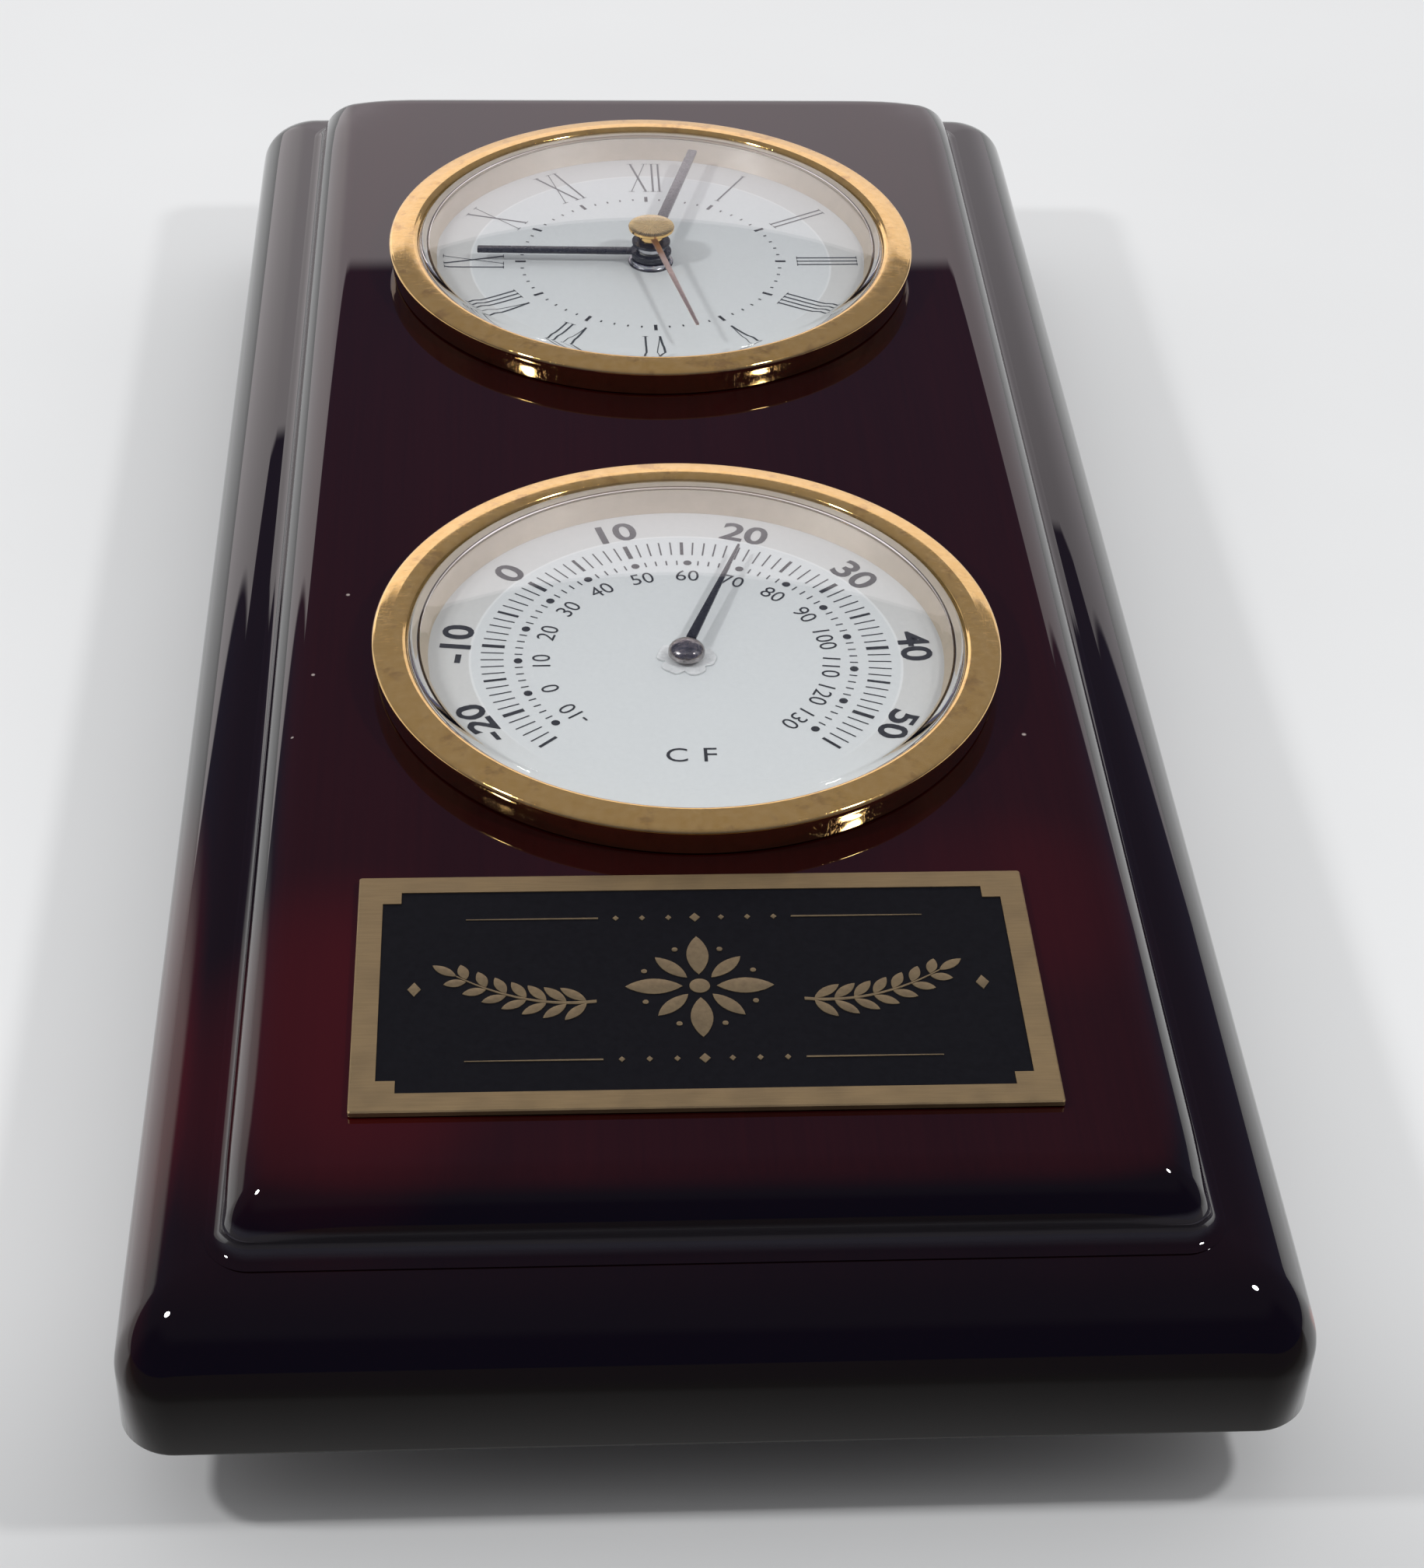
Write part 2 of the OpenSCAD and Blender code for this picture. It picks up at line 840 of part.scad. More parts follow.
module movement_back() {
    color(nylon)
        at_clock() {
            difference() {
                translate([0, 0, back_z])
                    linear_extrude(works_plate_t)
                        plate_square(movement_half, movement_corner_r);
                shaft_holes(back_z, back_top_z, [[0, 0], third_at, intermediate_at, rotor_at], bearing_r);
                shaft_holes(back_z, back_top_z, [knob_at], knob_hole_r);
                shaft_holes(back_z, back_top_z, [battery_at], bay_r);
                at_rectangle(post_at, post_at) {
                    translate([0, 0, back_z - over])
                        cylinder(h = works_plate_t + 2 * over, r = post_screw_r);
                    translate([0, 0, back_z - over])
                        cylinder(h = post_screw_head_h + over, r = post_screw_head_r + run_fit);
                }
            }
            housing_wall(back_top_z, split_z);
            at_rectangle(post_at, post_at)
                translate([0, 0, back_top_z])
                    difference() {
                        post_h = level_z(middle_level) - back_top_z;
                        cylinder(h = post_h, r = post_r);
                        translate([0, 0, -over])
                            cylinder(h = post_h + 2 * over, r = post_screw_r);
                    }
            for (share = board_post_shares)
                translate([board_low.x + share.x * (board_high.x - board_low.x),
                        board_low.y + share.y * (board_high.y - board_low.y), back_top_z])
                    cylinder(h = board_post_h, r = board_post_r);
            for (end = [bobbin_left + bobbin_wall / 2, bobbin_right - bobbin_wall / 2])
                translate([end - bobbin_wall / 2, core_y - core_w / 2, back_top_z])
                    cube([bobbin_wall, core_w, core_z + stator_t / 2 - bobbin_r - back_top_z]);
            for (x = [stator_left + stator_leg_w / 2, stator_right - stator_leg_w / 2])
                translate([x, stator_post_y, back_top_z])
                    cylinder(h = stator_z - back_top_z, r = stator_post_r);
        }
}

module movement_screws() {
    color(steel)
        at_clock()
            at_rectangle(post_at, post_at)
                translate([0, 0, back_z])
                    screw(post_screw_r, post_screw_l, post_screw_head_r, post_screw_head_h);
}

module mounting_nut() {
    color(steel)
        at_clock()
            translate([0, 0, dial_z])
                difference() {
                    cylinder(h = nut_h, r = nut_r);
                    translate([0, 0, -over])
                        cylinder(h = nut_h + 2 * over, r = bushing_r);
                }
}

module circuit_board() {
    middle = (board_low + board_high) / 2;
    crystal_z = board_z + board_t + crystal_r - crystal_sink;
    color([0.1, 0.32, 0.16])
        at_clock() {
            translate([board_low.x, board_low.y, board_z])
                cube([board_high.x - board_low.x, board_high.y - board_low.y, board_t]);
            translate([middle.x, middle.y, board_z + board_t])
                cylinder(h = chip_h, r = chip_r);
            translate([middle.x - crystal_l / 2, board_low.y + 2 * crystal_r, crystal_z])
                rotate([0, 90, 0])
                    cylinder(h = crystal_l, r = crystal_r);
        }
}

module on_core(start) {
    translate([start, core_y, core_z + stator_t / 2])
        rotate([0, 90, 0])
            children();
}

module coil_bobbin() {
    length = bobbin_right - bobbin_left;
    color(nylon)
        at_clock()
            difference() {
                union() {
                    on_core(bobbin_left)
                        cylinder(h = length, r = bobbin_tube_r);
                    for (end = [bobbin_left, bobbin_right - bobbin_wall])
                        on_core(end)
                            cylinder(h = bobbin_wall, r = bobbin_r);
                }
                translate([bobbin_left - over, core_y - core_w / 2, core_z])
                    cube([length + 2 * over, core_w, stator_t]);
            }
}

module drive_coil() {
    length = bobbin_right - bobbin_left - 2 * bobbin_wall;
    color(copper)
        at_clock()
            difference() {
                on_core(bobbin_left + bobbin_wall)
                    cylinder(h = length, r = coil_r);
                on_core(bobbin_left)
                    cylinder(h = length + 2 * bobbin_wall, r = bobbin_tube_r);
            }
}

module stator() {
    color(steel)
        at_clock() {
            difference() {
                union() {
                    bar([stator_left, stator_bar_low, stator_z],
                        [stator_right, stator_bar_top, stator_z + stator_t]);
                    for (leg = [stator_left, stator_right - stator_leg_w])
                        bar([leg, stator_far, stator_z],
                            [leg + stator_leg_w, stator_bar_top, stator_z + stator_t]);
                }
                shaft_holes(stator_z, stator_z + stator_t, [rotor_at], stator_hole_r);
            }
            bar([stator_left, core_y - core_w / 2, core_z], [stator_right, core_y + core_w / 2, stator_z]);
        }
}

// Gear train

// A toothed wheel with one tooth turned towards a direction
module gear(teeth, size, low, high, way) {
    translate([0, 0, low])
        linear_extrude(high - low)
            rotate(way)
                polygon(gear_points(teeth, size));
}

// The partner of a gear: its gap, not its tooth, is turned towards the direction
module partner(teeth, size, low, high, way) {
    gear(teeth, size, low, high, way + 180 / teeth);
}

module shaft(low, high, r) {
    translate([0, 0, low])
        cylinder(h = high - low, r = r);
}

module at_place(place) {
    at_clock()
        translate([place.x, place.y, 0])
            children();
}

module rotor() {
    size = pair_module(rotor_distance, rotor_teeth, intermediate_teeth);
    magnet_top = level_z(rotor_level);
    color([0.25, 0.25, 0.27])
        at_place(rotor_at) {
            shaft(back_z + works_plate_t / 3, level_z(middle_level) + wheel_t, arbor_r);
            shaft(magnet_top - magnet_t, magnet_top, magnet_r);
            gear(rotor_teeth, size, magnet_top, level_z(intermediate_level) + wheel_t, rotor_way + 180);
        }
}

module intermediate_wheel() {
    wheel = pair_module(rotor_distance, rotor_teeth, intermediate_teeth);
    pinion = pair_module(intermediate_distance, intermediate_pinion_teeth, seconds_teeth);
    low = level_z(intermediate_level);
    color(nylon)
        at_place(intermediate_at) {
            shaft(back_z + works_plate_t / 3, level_z(middle_level) + wheel_t, arbor_r);
            partner(intermediate_teeth, wheel, low, low + wheel_t, rotor_way);
            gear(intermediate_pinion_teeth, pinion, low, level_z(seconds_level) + wheel_t,
                intermediate_way + 180);
        }
}

module seconds_wheel() {
    wheel = pair_module(intermediate_distance, intermediate_pinion_teeth, seconds_teeth);
    pinion = pair_module(third_distance, seconds_pinion_teeth, third_teeth);
    low = level_z(seconds_level);
    color(nylon)
        at_clock() {
            shaft(back_z + works_plate_t / 3, dial_z + cap_disc_height, arbor_r);
            partner(seconds_teeth, wheel, low, low + wheel_t, intermediate_way);
            gear(seconds_pinion_teeth, pinion, low, level_z(third_level) + wheel_t, third_way);
        }
}

module third_wheel() {
    wheel = pair_module(third_distance, seconds_pinion_teeth, third_teeth);
    pinion = pair_module(third_distance, third_pinion_teeth, center_teeth);
    low = level_z(third_level);
    pinion_low = level_z(center_level);
    color(nylon)
        at_place(third_at) {
            shaft(back_z + works_plate_t / 3, dial_back_z - works_plate_t / 3, arbor_r);
            partner(third_teeth, wheel, low, low + wheel_t, third_way + 180);
            gear(third_pinion_teeth, pinion, pinion_low, pinion_low + wheel_t, third_way + 180);
        }
}

module center_wheel() {
    wheel = pair_module(third_distance, third_pinion_teeth, center_teeth);
    pinion = pair_module(minute_distance, cannon_teeth, minute_teeth);
    low = level_z(center_level);
    top = dial_z + minute_hand_height + hand_t;
    color(nylon)
        at_clock()
            difference() {
                union() {
                    shaft(low, top, center_tube_r);
                    partner(center_teeth, wheel, low, low + wheel_t, third_way);
                    gear(cannon_teeth, pinion, low, level_z(minute_level) + wheel_t, minute_way);
                    shaft(level_z(middle_level) + wheel_t + end_gap, low + end_gap, cannon_teeth * pinion / 2);
                }
                shaft(level_z(middle_level), top + over, bearing_r);
            }
}

module minute_wheel() {
    wheel = pair_module(minute_distance, cannon_teeth, minute_teeth);
    pinion = pair_module(minute_distance, minute_pinion_teeth, hour_teeth);
    low = level_z(minute_level);
    top = level_z(hour_level) + wheel_t;
    color(nylon)
        at_place(minute_at)
            difference() {
                union() {
                    partner(minute_teeth, wheel, low, low + wheel_t, minute_way + 180);
                    gear(minute_pinion_teeth, pinion, low, top, minute_way + 180);
                }
                shaft(low - over, top + over, stud_r + run_fit);
            }
}

module hour_wheel() {
    wheel = pair_module(minute_distance, minute_pinion_teeth, hour_teeth);
    low = level_z(hour_level);
    foot = level_z(minute_level) + wheel_t + end_gap;
    top = dial_z + hour_hand_height + hand_t;
    color(nylon)
        at_clock()
            difference() {
                union() {
                    shaft(foot, top, hour_tube_r);
                    partner(hour_teeth, wheel, low, low + wheel_t, minute_way);
                }
                shaft(foot - over, top + over, hour_tube_in_r);
            }
}

module setting_knob() {
    pinion = pair_module(minute_distance, knob_teeth, minute_teeth);
    low = level_z(minute_level);
    top = case_back_z - end_gap;
    color(black)
        at_place(knob_at) {
            shaft(top, dial_back_z - works_plate_t / 3, knob_shaft_r);
            gear(knob_teeth, pinion, low, low + wheel_t, knob_way + 180);
            difference() {
                shaft(top - knob_h, top, knob_r);
                for (i = [1 : knob_grips])
                    rotate([0, 0, 360 * i / knob_grips])
                        translate([knob_r, 0, top - knob_h - over])
                            cylinder(h = knob_h + 2 * over, r = knob_grip_r);
            }
        }
}

// Hands

// A flat blade along +Y, turned clockwise from twelve o'clock
module blade(turn, start, length, root_w, tip_w, low, thick) {
    rotate([0, 0, -turn])
        translate([0, 0, low])
            linear_extrude(thick)
                polygon([
                    [-root_w / 2, start], [root_w / 2, start],
                    [tip_w / 2, length], [-tip_w / 2, length],
                ]);
}

module hour_hand() {
    low = dial_z + hour_hand_height;
    color(black)
        at_clock()
            difference() {
                union() {
                    shaft(low, low + hand_t, hour_disc_r);
                    shaft(dial_z + hour_collar_height, low, hour_collar_r);
                    blade(hour_turn, hour_collar_r, hour_hand_l, hand_w, hand_w, low, hand_t);
                }
                shaft(dial_z, low + hand_t + over, hour_tube_r);
            }
}

module minute_hand() {
    low = dial_z + minute_hand_height;
    color(black)
        at_clock()
            difference() {
                union() {
                    shaft(low, low + hand_t, minute_disc_r);
                    shaft(dial_z + minute_collar_height, low, minute_collar_r);
                    blade(minute_turn, minute_collar_r, minute_hand_l, hand_w, hand_w, low, hand_t);
                }
                shaft(dial_z, low + hand_t + over, center_tube_r);
            }
}

module second_hand() {
    disc = dial_z + cap_disc_height;
    color(gold)
        at_clock()
            difference() {
                union() {
                    shaft(dial_z + cap_stem_height, disc, cap_stem_r);
                    shaft(disc, disc + cap_t, hand_cap_d / 2);
                    blade(second_turn, cap_stem_r / 2, second_hand_l, second_root_w, second_tip_w,
                        dial_z + second_hand_height, hand_t / 2);
                }
                shaft(dial_z, disc, arbor_r);
            }
}

// Battery

module battery() {
    color(steel)
        at_place(battery_at) {
            shaft(battery_low_z, battery_top_z - battery_rim_t, battery_r);
            shaft(battery_top_z - battery_rim_t, battery_top_z, battery_rim_r);
        }
}

// Two strips from the battery to the circuit board
module battery_contacts() {
    x = battery_at.x;
    y = battery_at.y;
    edge_x = x + battery_r;
    landing_x = board_low.x + contact_w;
    board_top = board_z + board_t;
    color(brass)
        at_clock() {
            bar([x - contact_w, y - contact_w, battery_top_z],
                [x + contact_w, strip_top_y + contact_w / 2, battery_top_z + contact_t]);
            bar([x, strip_top_y - contact_w / 2, battery_top_z],
                [landing_x, strip_top_y + contact_w / 2, battery_top_z + contact_t]);
            bar([landing_x - contact_t, strip_top_y - contact_w / 2, board_top],
                [landing_x, strip_top_y + contact_w / 2, battery_top_z + contact_t]);
            bar([edge_x, strip_side_y - contact_w / 2, board_top],
                [edge_x + contact_t, y + contact_w, board_top + contact_w / 2]);
            bar([edge_x, strip_side_y - contact_w / 2, board_top],
                [landing_x, strip_side_y + contact_w / 2, board_top + contact_t]);
        }
}

// Coin-slot cover: a plug with two lugs that turn under the case's back
module battery_cover() {
    low = case_back_z + cover_out;
    color(black)
        at_place(battery_at)
            difference() {
                union() {
                    shaft(low, case_floor_z + end_gap, cover_r);
                    translate([0, 0, case_floor_z + end_gap])
                        intersection() {
                            lug_pair(lug_t, cover_r + lug_out, lug_sweep);
                            difference() {
                                cylinder(h = lug_t, r = cover_r + 2 * lug_out);
                                translate([0, 0, -over])
                                    cylinder(h = lug_t + 2 * over, r = bay_r + end_gap);
                            }
                        }
                }
                translate([-coin_slot_l / 2, -coin_slot_w / 2, low - over])
                    cube([coin_slot_l, coin_slot_w, coin_slot_depth + over]);
            }
}

// Thermometer insert

module thermo_case() {
    color(black)
        at_thermo()
            difference() {
                insert_case();
                for (i = [1 : vent_count])
                    rotate([0, 0, 360 * i / vent_count])
                        translate([case_in_r * vent_ring_share, 0, case_back_z - over])
                            cylinder(h = case_back_t + 2 * over, r = vent_r);
            }
}

module thermo_gasket() {
    color(rubber)
        at_thermo()
            insert_gasket();
}

module thermo_bezel() {
    color(gold)
        at_thermo()
            insert_bezel();
}

module thermo_lens() {
    color(clear)
        at_thermo()
            insert_lens();
}

module thermo_spacer() {
    color(cream)
        at_thermo()
            insert_spacer();
}

module thermo_dial() {
    color(cream)
        at_thermo()
            insert_dial(dial_hole_r);
}

// Strap behind the dial that carries the arbor and the coil's outer end
module thermo_bracket() {
    color(brass)
        at_thermo()
            difference() {
                union() {
                    bar([-strap_l / 2, -strap_w / 2, strap_z], [strap_l / 2, strap_w / 2, strap_z + strap_t]);
                    for (side = [-1, 1]) {
                        leg = side * (strap_l - strap_t) / 2;
                        bar([leg - strap_t / 2, -strap_w / 2, strap_z],
                            [leg + strap_t / 2, strap_w / 2, dial_back_z]);
                        bar([leg - strap_t / 2 + min(side * strap_foot, 0), -strap_w / 2, dial_back_z - strap_t],
                            [leg + strap_t / 2 + max(side * strap_foot, 0), strap_w / 2, dial_back_z]);
                    }
                    translate([coil_outer_r + coil_post_r + coil_strip_t / 2, 0, 0])
                        shaft(strap_z, coil_low_z + coil_strip_w, coil_post_r);
                }
                shaft(strap_z - over, strap_z + strap_t + over, thermo_arbor_r + run_fit);
            }
}

// Flat spiral from the collet out to the post
module bimetal_coil() {
    steps = coil_turns * coil_steps;
    rise = (coil_outer_r - coil_inner_r) / steps;
    color(copper)
        at_thermo()
            translate([0, 0, coil_low_z])
                linear_extrude(coil_strip_w)
                    polygon(concat(
                        [for (i = [0 : steps])
                            polar(coil_inner_r + rise * i + coil_strip_t / 2, 360 * i / coil_steps)],
                        [for (i = [steps : -1 : 0])
                            polar(coil_inner_r + rise * i - coil_strip_t / 2, 360 * i / coil_steps)]
                    ));
}

module hub_washer() {
    color(clear)
        at_thermo()
            translate([0, 0, dial_z])
                difference() {
                    cylinder(h = washer_t, r = washer_r);
                    translate([0, 0, -over])
                        cylinder(h = washer_t + 2 * over, r = dial_hole_r);
                    for (i = [1 : washer_notches])
                        rotate([0, 0, 360 * i / washer_notches])
                            translate([washer_r, 0, -over])
                                cylinder(h = washer_t + 2 * over, r = washer_notch_r);
                }
}

module pointer_arbor() {
    color(steel)
        at_thermo() {
            shaft(strap_z - strap_t / 2, dial_z + hub_low_height + hand_t, thermo_arbor_r);
            shaft(coil_low_z, coil_low_z + coil_strip_w, collet_r);
        }
}

module thermo_pointer() {
    hub_r = pointer_hub_d / 2;
    low = dial_z + hub_low_height;
    crown = hub_top_height - pointer_height - pointer_t;
    color(black)
        at_thermo()
            difference() {
                union() {
                    shaft(low, dial_z + pointer_height + pointer_t, hub_r);
                    translate([0, 0, dial_z + pointer_height + pointer_t])
                        cylinder(h = crown, r1 = hub_r, r2 = hub_r * (1 - hub_share));
                    blade(pointer_turn, hub_r / 2, pointer_l, pointer_root_w, pointer_tip_w,
                        dial_z + pointer_height, pointer_t);
                }
                shaft(low - over, low + hand_t, thermo_arbor_r);
            }
}

base_board();
front_panel();
nameplate();
nameplate_adhesive();
hanger_plate();
hanger_screws();
rubber_feet();
foot_screws();
clock_case();
clock_gasket();
clock_bezel();
clock_lens();
clock_spacer();
clock_dial();
movement_front();
middle_plate();
movement_back();
movement_screws();
mounting_nut();
circuit_board();
coil_bobbin();
drive_coil();
stator();
rotor();
intermediate_wheel();
seconds_wheel();
third_wheel();
center_wheel();
minute_wheel();
hour_wheel();
setting_knob();
hour_hand();
minute_hand();
second_hand();
battery();
battery_contacts();
battery_cover();
thermo_case();
thermo_gasket();
thermo_bezel();
thermo_lens();
thermo_spacer();
thermo_dial();
thermo_bracket();
bimetal_coil();
hub_washer();
pointer_arbor();
thermo_pointer();
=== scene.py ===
"""Looks of the clock and thermometer plaque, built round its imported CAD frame."""
import math

import bmesh
import bpy
from mathutils import Matrix, Vector


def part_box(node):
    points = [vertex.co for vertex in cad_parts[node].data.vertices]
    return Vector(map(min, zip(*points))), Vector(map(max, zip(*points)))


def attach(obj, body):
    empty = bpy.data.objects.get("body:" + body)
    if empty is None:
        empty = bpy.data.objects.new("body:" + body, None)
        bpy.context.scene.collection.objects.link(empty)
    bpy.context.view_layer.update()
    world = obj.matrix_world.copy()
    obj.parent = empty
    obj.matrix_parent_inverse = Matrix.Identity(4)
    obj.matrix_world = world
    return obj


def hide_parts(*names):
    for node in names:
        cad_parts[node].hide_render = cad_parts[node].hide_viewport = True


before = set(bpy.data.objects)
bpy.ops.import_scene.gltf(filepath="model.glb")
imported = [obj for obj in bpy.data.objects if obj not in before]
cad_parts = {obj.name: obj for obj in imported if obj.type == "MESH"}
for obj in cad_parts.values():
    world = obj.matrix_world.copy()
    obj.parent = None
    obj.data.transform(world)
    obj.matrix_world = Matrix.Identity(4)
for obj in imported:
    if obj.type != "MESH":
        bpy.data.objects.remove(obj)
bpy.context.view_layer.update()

MM = 0.001
ROOT = "plaque"


def box_mm(node):
    """Low and high corner of a CAD node's box."""
    low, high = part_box(node)
    return low / MM, high / MM


def centre_mm(node):
    low, high = box_mm(node)
    return (low + high) / 2


# Sizes in millimetres, read from the CAD boxes where a box gives them
BASE_LOW, BASE_HIGH = box_mm("base_board")
PANEL_LOW, PANEL_HIGH = box_mm("front_panel")
FACE_Z = PANEL_HIGH.z
DIAL_Z = box_mm("clock_dial")[1].z
INK_Z = DIAL_Z + 0.03
CLOCK = centre_mm("clock_bezel")
THERMO = centre_mm("thermo_bezel")
PLATE_LOW, PLATE_HIGH = box_mm("nameplate")
BORE_R = 36.5
BORE_EASE = 0.25
PANEL_CORNER = 3.0
FOOT_R = 9.0


# Mesh helpers

def turned(angle, radius, centre):
    """Point at a clockwise angle from +Y, in degrees, round a centre."""
    a = math.radians(angle)
    return (centre[0] + radius * math.sin(a), centre[1] + radius * math.cos(a))


def polar(angle, radius):
    """Point at an anticlockwise angle from +X, in degrees."""
    a = math.radians(angle)
    return (radius * math.cos(a), radius * math.sin(a))


def circle(r, centre, n=160, phase=0.0):
    """Points round a circle; phase turns them by a share of one step."""
    turns = [2 * math.pi * (i + phase) / n for i in range(n)]
    return [(centre[0] + r * math.cos(a), centre[1] + r * math.sin(a)) for a in turns]


def lifted(profile, z):
    """The (radius, height) points of a profile, raised by z."""
    return [(r, z + h) for r, h in profile]


def add_object(name, data):
    """A new object in the scene."""
    obj = bpy.data.objects.new(name, data)
    bpy.context.scene.collection.objects.link(obj)
    return obj


class Build:
    """One piece in the making, in millimetres in the row frame."""

    def __init__(self):
        self.bm = bmesh.new()

    def ring(self, points):
        return [self.bm.verts.new(p) for p in points]

    def face(self, verts, mat=0):
        made = self.bm.faces.new(verts)
        made.material_index = mat
        return made

    def skin(self, a, b, mat=0):
        """Quads between two rings of one count, each ring closed on itself."""
        for i in range(len(a)):
            j = (i + 1) % len(a)
            self.face((a[i], a[j], b[j], b[i]), mat)

    def fill(self, *rings, mat=0):
        """Flat area inside the first ring, less the areas of the others."""
        edges = []
        for ring in rings:
            for i in range(len(ring)):
                pair = (ring[i], ring[(i + 1) % len(ring)])
                edges.append(self.bm.edges.get(pair) or self.bm.edges.new(pair))
        made = bmesh.ops.triangle_fill(self.bm, use_beauty=True, use_dissolve=False, edges=edges)
        for item in made["geom"]:
            if isinstance(item, bmesh.types.BMFace):
                item.material_index = mat

    def lathe(self, profile, centre, segments, mats=0, closed=True):
        """Turns a profile of (radius, height) points about a vertical axis."""
        rings = [self.ring((x, y, z) for x, y in circle(r, centre, segments if r else 1))
                 for r, z in profile]
        for k in range(len(rings) if closed else len(rings) - 1):
            a, b = rings[k], rings[(k + 1) % len(rings)]
            mat = mats[k] if isinstance(mats, list) else mats
            if len(a) == 1 and len(b) == 1:
                continue
            for i in range(segments):
                j = (i + 1) % segments
                if len(a) == 1:
                    self.face((a[0], b[j], b[i]), mat)
                elif len(b) == 1:
                    self.face((a[i], a[j], b[0]), mat)
                else:
                    self.face((a[i], a[j], b[j], b[i]), mat)

    def prism(self, outline, low, high, bevel, mat=0):
        """Upright plate with the given outline, its top edge eased by a bevel."""
        n = len(outline)
        # The least square keeps a sharp corner's inset short; the edge bulges by a share of the bevel
        least, bulge = 0.3, 0.3
        area = sum(outline[i][0] * outline[(i + 1) % n][1] - outline[(i + 1) % n][0] * outline[i][1]
                   for i in range(n))
        pts = outline if area > 0 else outline[::-1]
        inner = []
        for i in range(n):
            p, q, r = (Vector(pts[(i + k) % n]) for k in (-1, 0, 1))
            d1, d2 = (q - p).normalized(), (r - q).normalized()
            inward = Vector((-d1.y, d1.x)) + Vector((-d2.y, d2.x))
            inner.append(q + inward / max(inward.length_squared, least) * 2 * bevel)
        bottom = self.ring((p[0], p[1], low) for p in pts)
        waist = self.ring((p[0], p[1], high - bevel) for p in pts)
        mid = self.ring((p[0] * (1 - bulge) + q.x * bulge, p[1] * (1 - bulge) + q.y * bulge,
                         high - bulge * bevel) for p, q in zip(pts, inner))
        top = self.ring((p.x, p.y, high) for p in inner)
        for a, b in ((bottom, waist), (waist, mid), (mid, top)):
            self.skin(a, b, mat)
        self.fill(top, mat=mat)
        self.fill(bottom, mat=mat)

    def flat(self, outline):
        """One printed shape facing up; its outline is listed anticlockwise."""
        self.face(self.ring((p[0], p[1], INK_Z) for p in outline))

    def bar(self, p, q, width):
        """A printed straight stroke from p to q."""
        p, q = Vector(p), Vector(q)
        d = (q - p).normalized() * width / 2
        s = Vector((d.y, -d.x))
        self.flat((p + s, q + s, q - s, p - s))

    def text(self, words, height, place, turn, weight=0.0, wide=1.0, space=1.0):
        """Numbers or letters centred on a place, their tops turned clockwise."""
        curve = bpy.data.curves.new("words", "FONT")
        curve.body, curve.align_x, curve.size = words, "CENTER", 1.0
        curve.space_character = space
        curve.offset, curve.resolution_u = weight, 4
        holder = bpy.data.objects.new("words", curve)
        mesh = holder.to_mesh()
        across, up = [v.co.x for v in mesh.vertices], [v.co.y for v in mesh.vertices]
        left, right, low, high = min(across), max(across), min(up), max(up)
        k = height / (high - low)
        a = math.radians(-turn)
        verts = []
        for v in mesh.vertices:
            x = (v.co.x - (left + right) / 2) * k * wide
            y = (v.co.y - (low + high) / 2) * k
            verts.append(self.bm.verts.new((place[0] + x * math.cos(a) - y * math.sin(a),
                                            place[1] + x * math.sin(a) + y * math.cos(a), INK_Z)))
        for poly in mesh.polygons:
            ring = [verts[i] for i in poly.vertices]
            if poly.normal.z < 0:
                ring.reverse()
            self.face(ring)
        holder.to_mesh_clear()
        bpy.data.objects.remove(holder)
        bpy.data.curves.remove(curve)

    def finish(self, name, materials, body=ROOT, replaces=(), angle=32, solid=True):
        """Makes the object, in metres, with its looks, body and the nodes that it replaces."""
        if solid:
            bmesh.ops.recalc_face_normals(self.bm, faces=self.bm.faces)
        self.bm.transform(Matrix.Scale(MM, 4))
        mesh = bpy.data.meshes.new(name)
        self.bm.to_mesh(mesh)
        self.bm.free()
        for mat in materials if isinstance(materials, list) else [materials]:
            mesh.materials.append(mat)
        mesh.shade_smooth()
        mesh.set_sharp_from_angle(angle=math.radians(angle))
        obj = add_object(name, mesh)
        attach(obj, body)
        if replaces:
            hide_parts(*replaces)


def rounded_loop(half_w, half_h, radius, centre=(0, 0), steps=14, between=0):
    """Points round a rounded rectangle, anticlockwise, the same count at any size.

    Points between two corners crowd towards them, so that a worn corner doesn't tilt a whole side."""
    radius = min(radius, half_w, half_h)
    arcs = []
    for k, (sx, sy) in enumerate(((1, 1), (-1, 1), (-1, -1), (1, -1))):
        turns = [math.radians(90 * (k + i / steps)) for i in range(steps + 1)]
        arcs.append([(centre[0] + sx * (half_w - radius) + radius * math.cos(a),
                      centre[1] + sy * (half_h - radius) + radius * math.sin(a)) for a in turns])
    points = []
    for k, corner in enumerate(arcs):
        start, stop = corner[-1], arcs[(k + 1) % 4][0]
        shares = [(1 - math.cos(math.pi * i / (between + 1))) / 2 for i in range(1, between + 1)]
        points += corner + [(start[0] + (stop[0] - start[0]) * t, start[1] + (stop[1] - start[1]) * t)
                            for t in shares]
    return points


# Material helpers

# Numbers of a mix node's factor and colour inputs, and of its colour output
MIX_FACTOR, MIX_A, MIX_B, MIX_OUT = 0, 6, 7, 2


